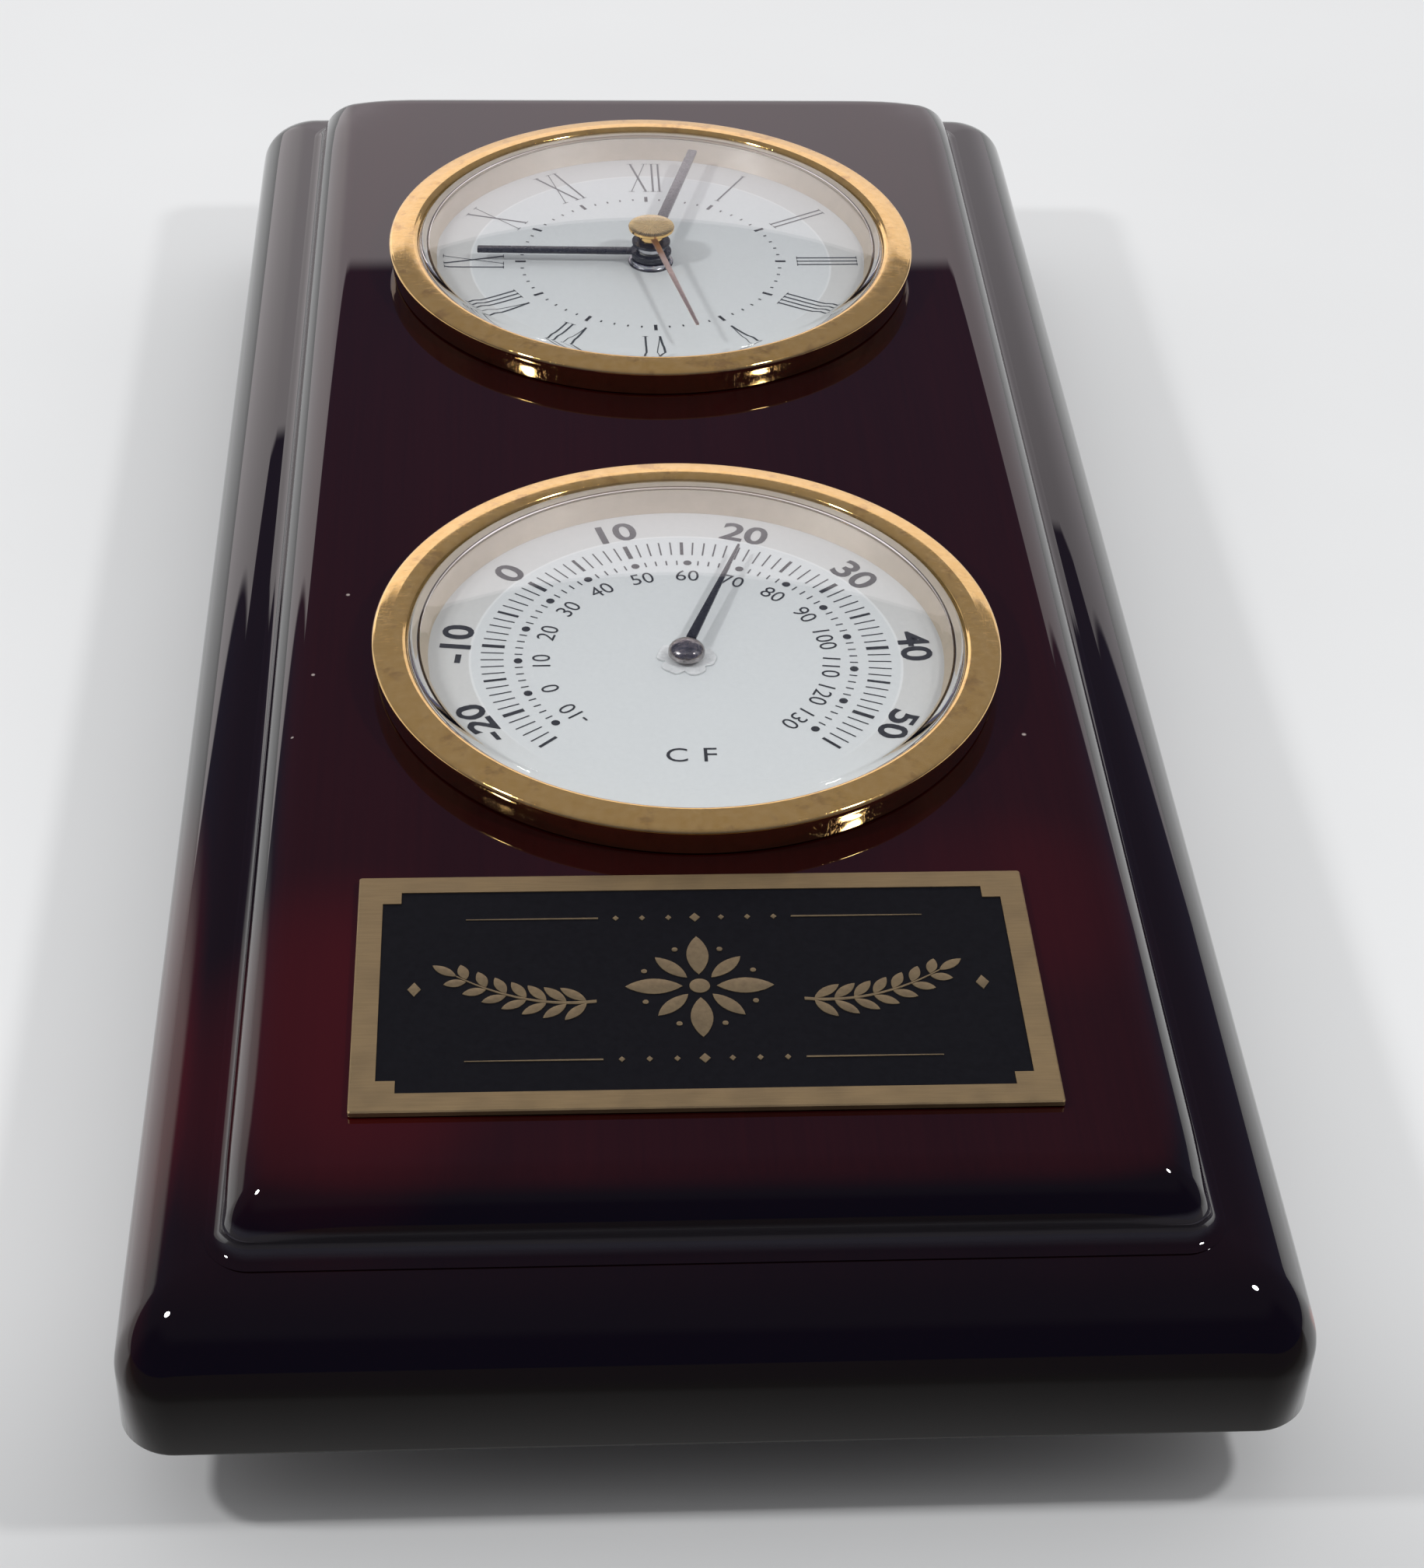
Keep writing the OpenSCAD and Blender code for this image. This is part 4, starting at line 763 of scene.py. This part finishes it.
def roman(build, words, angle, centre, inner, outer):
    """Thin serif numeral set radially, its top outward."""
    widths = {"I": 1.02, "V": 3.3, "X": 3.5}
    upright, thick, thin, flag = 0.30, 0.34, 0.14, 0.11
    low, high = 0.008, 0.992  # shares of the height at which the serifs sit
    turn = math.radians(-angle)

    def at(x, y):
        """Place of a point that lies x along the words and y, from 0 to 1, up them."""
        y = inner + y * (outer - inner)
        return (centre.x + x * math.cos(turn) - y * math.sin(turn),
                centre.y + x * math.sin(turn) + y * math.cos(turn))

    def serif(x, y, reach):
        build.bar(at(x - reach, y), at(x + reach, y), flag)

    x = -sum(widths[c] for c in words) / 2
    for c in words:
        w = widths[c]
        mid = x + w / 2
        if c == "I":
            build.bar(at(mid, 0), at(mid, 1), upright)
            for y in (low, high):
                serif(mid, y, 0.42)
        elif c == "V":
            left, right = x + 0.62, x + w - 0.62
            build.bar(at(left, 1), at(mid, 0), thick)
            build.bar(at(right, 1), at(mid, 0), thin)
            for side in (left, right):
                serif(side, high, 0.5)
        else:
            left, right = x + 0.6, x + w - 0.6
            build.bar(at(left, 1), at(right, 0), thick)
            build.bar(at(right, 1), at(left, 0), thin)
            for side in (left, right):
                serif(side, low, 0.5)
                serif(side, high, 0.5)
        x += w


piece = Build()
for i, words in enumerate("XII I II III IIII V VI VII VIII IX X XI".split()):
    roman(piece, words, 30 * i, CLOCK, 22.3, 31.6)
piece.finish("clock_numerals", FINE_INK, solid=False)
piece = Build()
for i in range(60):
    start, end, width = (19.4, 19.9, 0.26) if i % 5 else (19.0, 20.6, 0.5)
    tick(piece, 6 * i, start, end, width, CLOCK)
piece.finish("clock_minute_track", INK, solid=False)


# Thermometer printing

SCALE_TURN = 1.2
DEGREE = 3.375
CELSIUS_TICKS, CELSIUS_NUMBERS = (23.1, 26.0), 29.35
FAHRENHEIT_TICKS, FAHRENHEIT_DOTS, FAHRENHEIT_NUMBERS = (20.75, 21.75), 21.27, 18.35
LETTER_R = 19.9


def celsius_angle(value):
    return SCALE_TURN + DEGREE * (value - 15)


def fahrenheit_angle(value):
    return celsius_angle((value - 32) / 1.8)


piece = Build()
for c in range(-25, 56):
    width = 0.62 if c % 10 == 0 else 0.44 if c % 5 == 0 else 0.2
    tick(piece, celsius_angle(c), *CELSIUS_TICKS, width, THERMO)
for c in range(-20, 51, 10):
    a = celsius_angle(c)
    place = turned(a, CELSIUS_NUMBERS, THERMO)
    piece.text(str(c), 4.1, place, a, weight=0.022, wide=1.16, space=0.98)
for f in range(-10, 131, 2):
    a = fahrenheit_angle(f)
    if f % 10:
        tick(piece, a, *FAHRENHEIT_TICKS, 0.2, THERMO)
    else:
        piece.flat(circle(0.55, turned(a, FAHRENHEIT_DOTS, THERMO), 20))
        place = turned(a, FAHRENHEIT_NUMBERS, THERMO)
        piece.text(str(f), 2.3, place, a, weight=-0.004, wide=0.98)
for letter, angle in (("C", 186.0), ("F", 174.2)):
    piece.text(letter, 2.7, turned(angle, LETTER_R, THERMO), 0, wide=1.1)
piece.finish("thermo_scale", INK, solid=False)


# Hands

def blade(build, angle, centre, start, end, root, tip, low, thick, bevel=0.08, mat=0):
    """Straight blade along a clockwise angle, eased on its upper edges."""
    a = math.radians(angle)
    way, side = Vector((math.sin(a), math.cos(a))), Vector((math.cos(a), -math.sin(a)))
    mid = Vector((centre.x, centre.y))
    nib, nib_share = 0.12, 0.35
    points = [mid + way * start + side * root / 2, mid + way * (end - nib) + side * tip / 2,
              mid + way * end + side * tip * nib_share, mid + way * end - side * tip * nib_share,
              mid + way * (end - nib) - side * tip / 2, mid + way * start - side * root / 2]
    build.prism([tuple(p) for p in points], low, low + thick, bevel, mat)


def shown(name, centre):
    """Angle, clockwise from +Y, and reach at which a packed hand stands."""
    points = [v.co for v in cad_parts[name].data.vertices]

    def far(p):
        return math.hypot(p.x / MM - centre.x, p.y / MM - centre.y)

    reach = max(far(p) for p in points)
    tips = [p for p in points if far(p) > reach - 0.2]
    x = sum(p.x for p in tips) / len(tips) / MM - centre.x
    y = sum(p.y for p in tips) / len(tips) / MM - centre.y
    return math.degrees(math.atan2(x, y)), reach


piece = Build()
angle, reach = shown("hour_hand", CLOCK)
hub = [(2.2, 0.4), (2.85, 0.4), (2.9, 0.45), (2.9, 1.0), (3.05, 1.0), (3.1, 1.06), (3.1, 1.34), (3.04, 1.4),
       (2.2, 1.4)]
piece.lathe(lifted(hub, FACE_Z), CLOCK, 96)
blade(piece, angle, CLOCK, 2.9, reach, root=1.7, tip=1.6, low=FACE_Z + 1.0, thick=0.4)
piece.finish("hour_hand_blade", BLACK, body="hours", replaces=["hour_hand"])

piece = Build()
angle, reach = shown("minute_hand", CLOCK)
hub = [(1.2, 1.75), (2.25, 1.75), (2.3, 1.8), (2.3, 2.6), (2.84, 2.6), (2.9, 2.66), (2.9, 2.94),
       (2.84, 3.0), (1.2, 3.0)]
piece.lathe(lifted(hub, FACE_Z), CLOCK, 96, [1] * 3 + [0] * 6)
blade(piece, angle, CLOCK, 2.7, reach, root=1.7, tip=1.45, low=FACE_Z + 2.6, thick=0.4)
piece.finish("minute_hand_blade", [BLACK, STEEL], body="minutes", replaces=["minute_hand"])

piece = Build()
angle, reach = shown("second_hand", CLOCK)
hub = [(0.0, 5.5), (2.6, 5.5), (3.2, 5.49), (3.38, 5.43), (3.45, 5.33), (3.45, 5.0), (3.38, 4.92),
       (1.9, 4.9), (1.9, 4.1), (1.9, 3.32), (1.8, 3.3), (0.5, 3.3), (0.0, 3.3)]
piece.lathe(lifted(hub, FACE_Z), CLOCK, 96, [0] * 3 + [1] * 10, closed=False)
blade(piece, angle, CLOCK, 1.7, reach, root=1.0, tip=0.5, low=FACE_Z + 3.9, thick=0.2, bevel=0.04, mat=2)
piece.finish("second_hand_blade", [CAP_GOLD, GOLD, ROSE], body="seconds",
             replaces=["second_hand"])

piece = Build()
nut = [(2.65, 0.0), (3.4, 0.0), (3.4, 0.22), (3.32, 0.3), (3.2, 0.3), (3.12, 0.38), (3.12, 0.7), (3.0, 0.8),
       (2.65, 0.8)]
piece.lathe(lifted(nut, DIAL_Z), CLOCK, 96, [1] * 3 + [0] * 6)
piece.finish("collar_nut", [STEEL, BLACK], replaces=["mounting_nut"])

piece = Build()
angle, reach = shown("thermo_pointer", THERMO)
hub = [(0.0, 0.15), (0.72, 0.15), (2.2, 0.15), (2.33, 0.28), (2.33, 0.62), (2.26, 0.95), (2.02, 1.3),
       (1.62, 1.6), (1.1, 1.8), (0.5, 1.89), (0.0, 1.9)]
piece.lathe(lifted(hub, FACE_Z), THERMO, 96, closed=False, mats=1)
blade(piece, angle, THERMO, 2.0, reach, root=1.3, tip=0.34, low=FACE_Z + 1.2, thick=0.3, bevel=0.06)
piece.finish("pointer_blade", [BLACK, HUB], body="indicator", replaces=["thermo_pointer"])

# Thin washer with five bites in its rim; angles in degrees
WASHER_BITES = (40, 118, 196, 262, 322)
BITE_SPREAD = 9
piece = Build()
washer = []
for a in range(0, 360, 3):
    bite = sum(math.exp(-(((a - at + 180) % 360 - 180) / BITE_SPREAD) ** 2) for at in WASHER_BITES)
    radius = 3.8 - 0.85 * min(bite, 1) - 0.12 * math.sin(math.radians(5 * a)) ** 2
    x, y = polar(a, radius)
    washer.append((THERMO.x + x, THERMO.y + y))
piece.prism(washer, DIAL_Z + 0.01, DIAL_Z + 0.25, 0.08)
piece.finish("clear_washer", WASHER, replaces=["hub_washer"])


# Nameplate

PLATE_EDGE = 0.14
PLATE_BORDER = 2.8
FIELD_STEPS = (2.1, 1.9)
FIELD_DEPTH = 0.12
MOTIF_RISE = 0.09
STEM_STEPS = 14


def stepped(w, h, step_x, step_y):
    """Rectangle of half sizes w and h with a step cut into each corner, anticlockwise."""
    x, y = w - step_x, h - step_y
    return [(w, -y), (w, y), (x, y), (x, h), (-x, h), (-x, y), (-w, y), (-w, -y), (-x, -y), (-x, -h),
            (x, -h), (x, -y)]


def leaf(root, way, length, width, n=10):
    """Pointed oval from a root point along an angle, anticlockwise."""
    a = math.radians(way)
    d, s = Vector((math.cos(a), math.sin(a))), Vector((-math.sin(a), math.cos(a)))
    root = Vector(root)

    def edge(i, side):
        return tuple(root + d * length * i / n + s * side * width / 2 * math.sin(math.pi * i / n) ** 0.8)

    return [edge(i, -1) for i in range(n)] + [edge(i, 1) for i in range(n, 0, -1)]


def lozenge(x, y, half_w, half_h):
    return [(x - half_w, y), (x, y - half_h), (x + half_w, y), (x, y + half_h)]


plate_c = (PLATE_LOW + PLATE_HIGH) / 2
half_w, half_h = (PLATE_HIGH.x - PLATE_LOW.x) / 2, (PLATE_HIGH.y - PLATE_LOW.y) / 2
top, field_z = PLATE_HIGH.z, PLATE_HIGH.z - FIELD_DEPTH
piece = Build()


def plate_ring(points, z):
    return piece.ring((plate_c.x + x, plate_c.y + y, z) for x, y in points)


bottom = plate_ring(rounded_loop(half_w, half_h, 0.3, steps=3), PLATE_LOW.z)
waist = plate_ring(rounded_loop(half_w, half_h, 0.3, steps=3), top - PLATE_EDGE)
crown = plate_ring(rounded_loop(half_w - PLATE_EDGE, half_h - PLATE_EDGE, 0.2, steps=3), top)
field = stepped(half_w - PLATE_BORDER, half_h - PLATE_BORDER, *FIELD_STEPS)
rim = plate_ring(field, top)
sunk = plate_ring(field, field_z)
piece.skin(bottom, waist)
piece.skin(waist, crown)
piece.fill(bottom)
piece.fill(crown, rim)
piece.skin(rim, sunk)
piece.fill(sunk, mat=1)
piece.finish("nameplate_framed", [BRASS, FIELD], replaces=["nameplate"])

piece = Build()


def motif(points):
    """One raised figure in the field, its points measured from the plate's middle."""
    outline = [(plate_c.x + x, plate_c.y + y) for x, y in points]
    piece.prism(outline, field_z - 0.02, field_z + MOTIF_RISE, 0.03)


# Rosette
for k in range(8):
    length, width = (4.9, 1.7) if k % 2 else (6.4, 2.5)
    motif(leaf(polar(45 * k, 1.9), 45 * k, length, width))
motif(circle(1.15, (0, 0), 28))
for k in range(8):
    motif(circle(0.34, polar(45 * k + 22.5, 6.6), 14))

# Sprigs with their end lozenges
for side in (-1, 1):
    shares = [i / STEM_STEPS for i in range(STEM_STEPS + 1)]
    stem = [(side * (11.5 + 15.5 * t), -2.3 + 6.8 * t * t - 2.4 * t) for t in shares]
    halves = [0.24 * (1 - 0.6 * t) for t in shares]
    upper = [(x, y + half) for (x, y), half in zip(stem, halves)]
    lower = [(x, y - half) for (x, y), half in zip(stem, halves)]
    motif(upper + lower[::-1])
    for i in range(1, STEM_STEPS, 2):
        (x, y), before, after = stem[i], stem[i - 1], stem[i + 1]
        along = math.degrees(math.atan2(after[1] - before[1], after[0] - before[0]))
        for way in (1, -1):
            motif(leaf((x, y + way * 0.2), along + way * side * 42, 3.7 - 0.09 * i, 1.25))
    (x, y), before = stem[-1], stem[-2]
    motif(leaf((x, y), math.degrees(math.atan2(y - before[1], x - before[0])), 3.2, 1.2))
    motif(lozenge(side * 31.6, 0, 0.75, 1.15))

# Row of lozenges between two rules, above and below
for y in (-11.6, 11.6):
    for x in range(-9, 10, 3):
        r = 0.36 if x else 0.62
        motif(lozenge(x, y, r, r * 1.2))
    for side in (-1, 1):
        start, end = side * 11, side * 26
        motif([(start, y - 0.12), (end, y - 0.06), (end, y + 0.06), (start, y + 0.12)])
piece.finish("nameplate_motif", MOTIF)


# Feet

foot_high = box_mm("rubber_feet")[1]
foot = [(2.1, 4.5), (4.0, 4.5), (4.0, 0.5), (4.4, 0.08), (4.9, 0.0), (7.2, 0.0), (7.8, 0.2), (8.15, 0.8),
        (8.5, 4.5), (8.62, 5.4), (8.45, 5.9), (8.45, 6.3), (8.68, 6.8), (8.9, 10.2), (FOOT_R, 11.0),
        (2.1, 11.0)]
piece = Build()
for sx in (-1, 1):
    for sy in (-1, 1):
        piece.lathe(foot, (sx * (foot_high.x - FOOT_R), sy * (foot_high.y - FOOT_R)), 80)
piece.finish("turned_feet", RUBBER, replaces=["rubber_feet"])


# Stage and light

# Strength of the painted light glowing on the floor behind the object and far in front of it
FAR_GLOW, NEAR_GLOW = 0.15, 0.30
LAMP_AIM = Vector((0, 0, 0.03))


def floor_look():
    """Pale table with painted light and shade: it glows brighter away from the object and is painted greyer
    just in front of it; mirrors see its near part dark.

    It is clear from below, so that it doesn't hide the underside. Places are Y in metres."""
    look = Look("floor", Roughness=0.85, Specular_IOR_Level=0.1, Emission_Color=(1, 1, 1, 1))
    x, y, z = look.axes()
    # Painted shade: the floor is greyer in a band under and in front of the object's near end
    unshaded_floor = look.math("MAXIMUM", look.span(y, -0.17, -0.10), look.span(y, -0.26, -0.40))
    pale = look.mix(unshaded_floor, (0.60, 0.605, 0.61), (0.83, 0.835, 0.84))
    speck = look.ramp(look.noise(0.02, detail=2.0), (0.3, 0.985), (0.7, 1.0))
    look.drive("Base Color", look.mix(1.0, pale, speck, "MULTIPLY"))
    # Painted light: the floor glows for camera, glossy and transmission rays, more away from the object
    glow = look.plus(look.span(y, 0.0, 0.32, 0.0, FAR_GLOW), look.span(y, -0.32, -0.60, 0.0, NEAR_GLOW))
    path = look.node("ShaderNodeLightPath").outputs
    seen = look.math("MAXIMUM", path["Is Glossy Ray"], path["Is Transmission Ray"])
    seen = look.math("MAXIMUM", path["Is Camera Ray"], seen)
    look.drive("Emission Strength", look.times(glow, seen))
    shade = look.ramp(look.span(y, -0.19, -0.14, smooth=False),
                      (0.0, (0.094, 0.088, 0.105)), (0.5, 0.10), (1.0, 0.26))
    dark = look.node("ShaderNodeEmission", {"Color": shade}).outputs["Emission"]
    mirrored = look.times(path["Is Glossy Ray"], look.span(y, -0.130, -0.142))
    table = look.cover(mirrored, look.shader.outputs["BSDF"], dark)
    clear = look.node("ShaderNodeBsdfTransparent").outputs["BSDF"]
    look.cover(look.node("ShaderNodeNewGeometry").outputs["Backfacing"], table, clear)
    return look.mat


mesh = bpy.data.meshes.new("floor")
side = 6  # half of the table's side, in metres
corners = [(-side, -side, 0), (side, -side, 0), (side, side, 0), (-side, side, 0)]
mesh.from_pydata(corners, [], [(0, 1, 2, 3)])
mesh.materials.append(floor_look())
floor = add_object("floor", mesh)


def lamp(name, place, size, power):
    """Round lamp turned towards the object."""
    data = bpy.data.lights.new(name, "AREA")
    data.shape, data.size, data.energy = "DISK", size, power
    obj = add_object(name, data)
    obj.location = Vector(place)
    obj.rotation_euler = (LAMP_AIM - Vector(place)).to_track_quat("-Z", "Y").to_euler()


lamp("lamp_right", (0.269, -0.1337, 0.391), size=0.045, power=0.63)
lamp("lamp_left", (-0.362, -0.1287, 0.407), size=0.050, power=0.86)


def world_light():
    """Surroundings, by kind of ray.

    Mirrors see a dark room with a pale patch low behind the object and another at the left. The camera
    sees pale grey. All other light comes mostly from behind the object."""
    world = bpy.data.worlds.new("studio")
    world.use_nodes = True
    sky = Nodes(world.node_tree)
    sky.tree.nodes.clear()
    way = sky.split(sky.node("ShaderNodeTexCoord").outputs["Generated"])
    # Places across and up on a wall one unit behind the object
    ahead = sky.math("MAXIMUM", way["Y"], 0.001)
    across, up = sky.math("DIVIDE", way["X"], ahead), sky.math("DIVIDE", way["Z"], ahead)
    behind = sky.span(way["Y"], 0.0, 0.06)
    reach = sky.plus(sky.times(up, -0.7), 0.885)
    inside = sky.math("SUBTRACT", reach, sky.math("ABSOLUTE", sky.math("SUBTRACT", across, 0.03)))
    pale = sky.times(sky.span(up, 0.558, 0.551), sky.span(inside, -0.01, 0.01), behind)
    left = sky.times(sky.span(across, -0.80, -0.92), sky.span(up, 0.42, 0.28), behind)
    low_front = sky.times(sky.span(way["Z"], 0.77, 0.57), sky.span(way["Y"], 0.05, -0.25))
    mirror = sky.mix(low_front, (0.080, 0.084, 0.140), (0.040, 0.047, 0.105))
    mirror = sky.mix(left, mirror, (0.60, 0.60, 0.61))
    bright = sky.mix(sky.span(up, 0.10, 0.38), (0.74, 0.69, 0.72), (1.09, 1.00, 1.06))
    bright = sky.mix(sky.span(across, -0.18, -0.36), bright, (1.30, 1.22, 1.25))
    bright = sky.mix(sky.span(across, 0.0, 0.5), bright, (0.84, 0.79, 0.83))
    mirror = sky.mix(pale, mirror, bright)
    around = sky.mix(sky.span(way["Y"], -0.9, 0.4), (0.065, 0.065, 0.07), (0.92, 0.92, 0.925))
    path = sky.node("ShaderNodeLightPath").outputs
    seen = sky.mix(path["Is Glossy Ray"], around, mirror)
    seen = sky.mix(path["Is Camera Ray"], seen, (0.87, 0.875, 0.88))
    light = sky.node("ShaderNodeBackground", {"Color": seen, "Strength": 1.0})
    sky.node("ShaderNodeOutputWorld", {"Surface": light.outputs["Background"]})
    bpy.context.scene.world = world


world_light()


# Camera, fitted to the rings and straight edges; places in metres, angles in degrees

CAMERA_PLACE = (-0.020184, -0.352173, 0.269572)
ROLL, TILT, YAW = 2.047, -51.573, -4.23
LENS_MM, SENSOR_MM = 71.365, 36.0


def rot_x(a):
    c, s = math.cos(a), math.sin(a)
    return Matrix(((1, 0, 0), (0, c, -s), (0, s, c)))


def rot_z(a):
    c, s = math.cos(a), math.sin(a)
    return Matrix(((c, s, 0), (-s, c, 0), (0, 0, 1)))


camera_data = bpy.data.cameras.new("camera")
camera = add_object("camera", camera_data)
to_camera = rot_z(math.radians(ROLL)) @ rot_x(math.radians(TILT)) @ rot_z(math.radians(YAW))
camera.matrix_world = Matrix.Translation(CAMERA_PLACE) @ to_camera.transposed().to_4x4()
camera_data.lens, camera_data.sensor_width = LENS_MM, SENSOR_MM
camera_data.shift_x, camera_data.shift_y = 0.005355, -0.00018
camera_data.clip_start, camera_data.clip_end = 0.01, 30.0
bpy.context.scene.camera = camera
bpy.context.scene.view_settings.view_transform = "Standard"
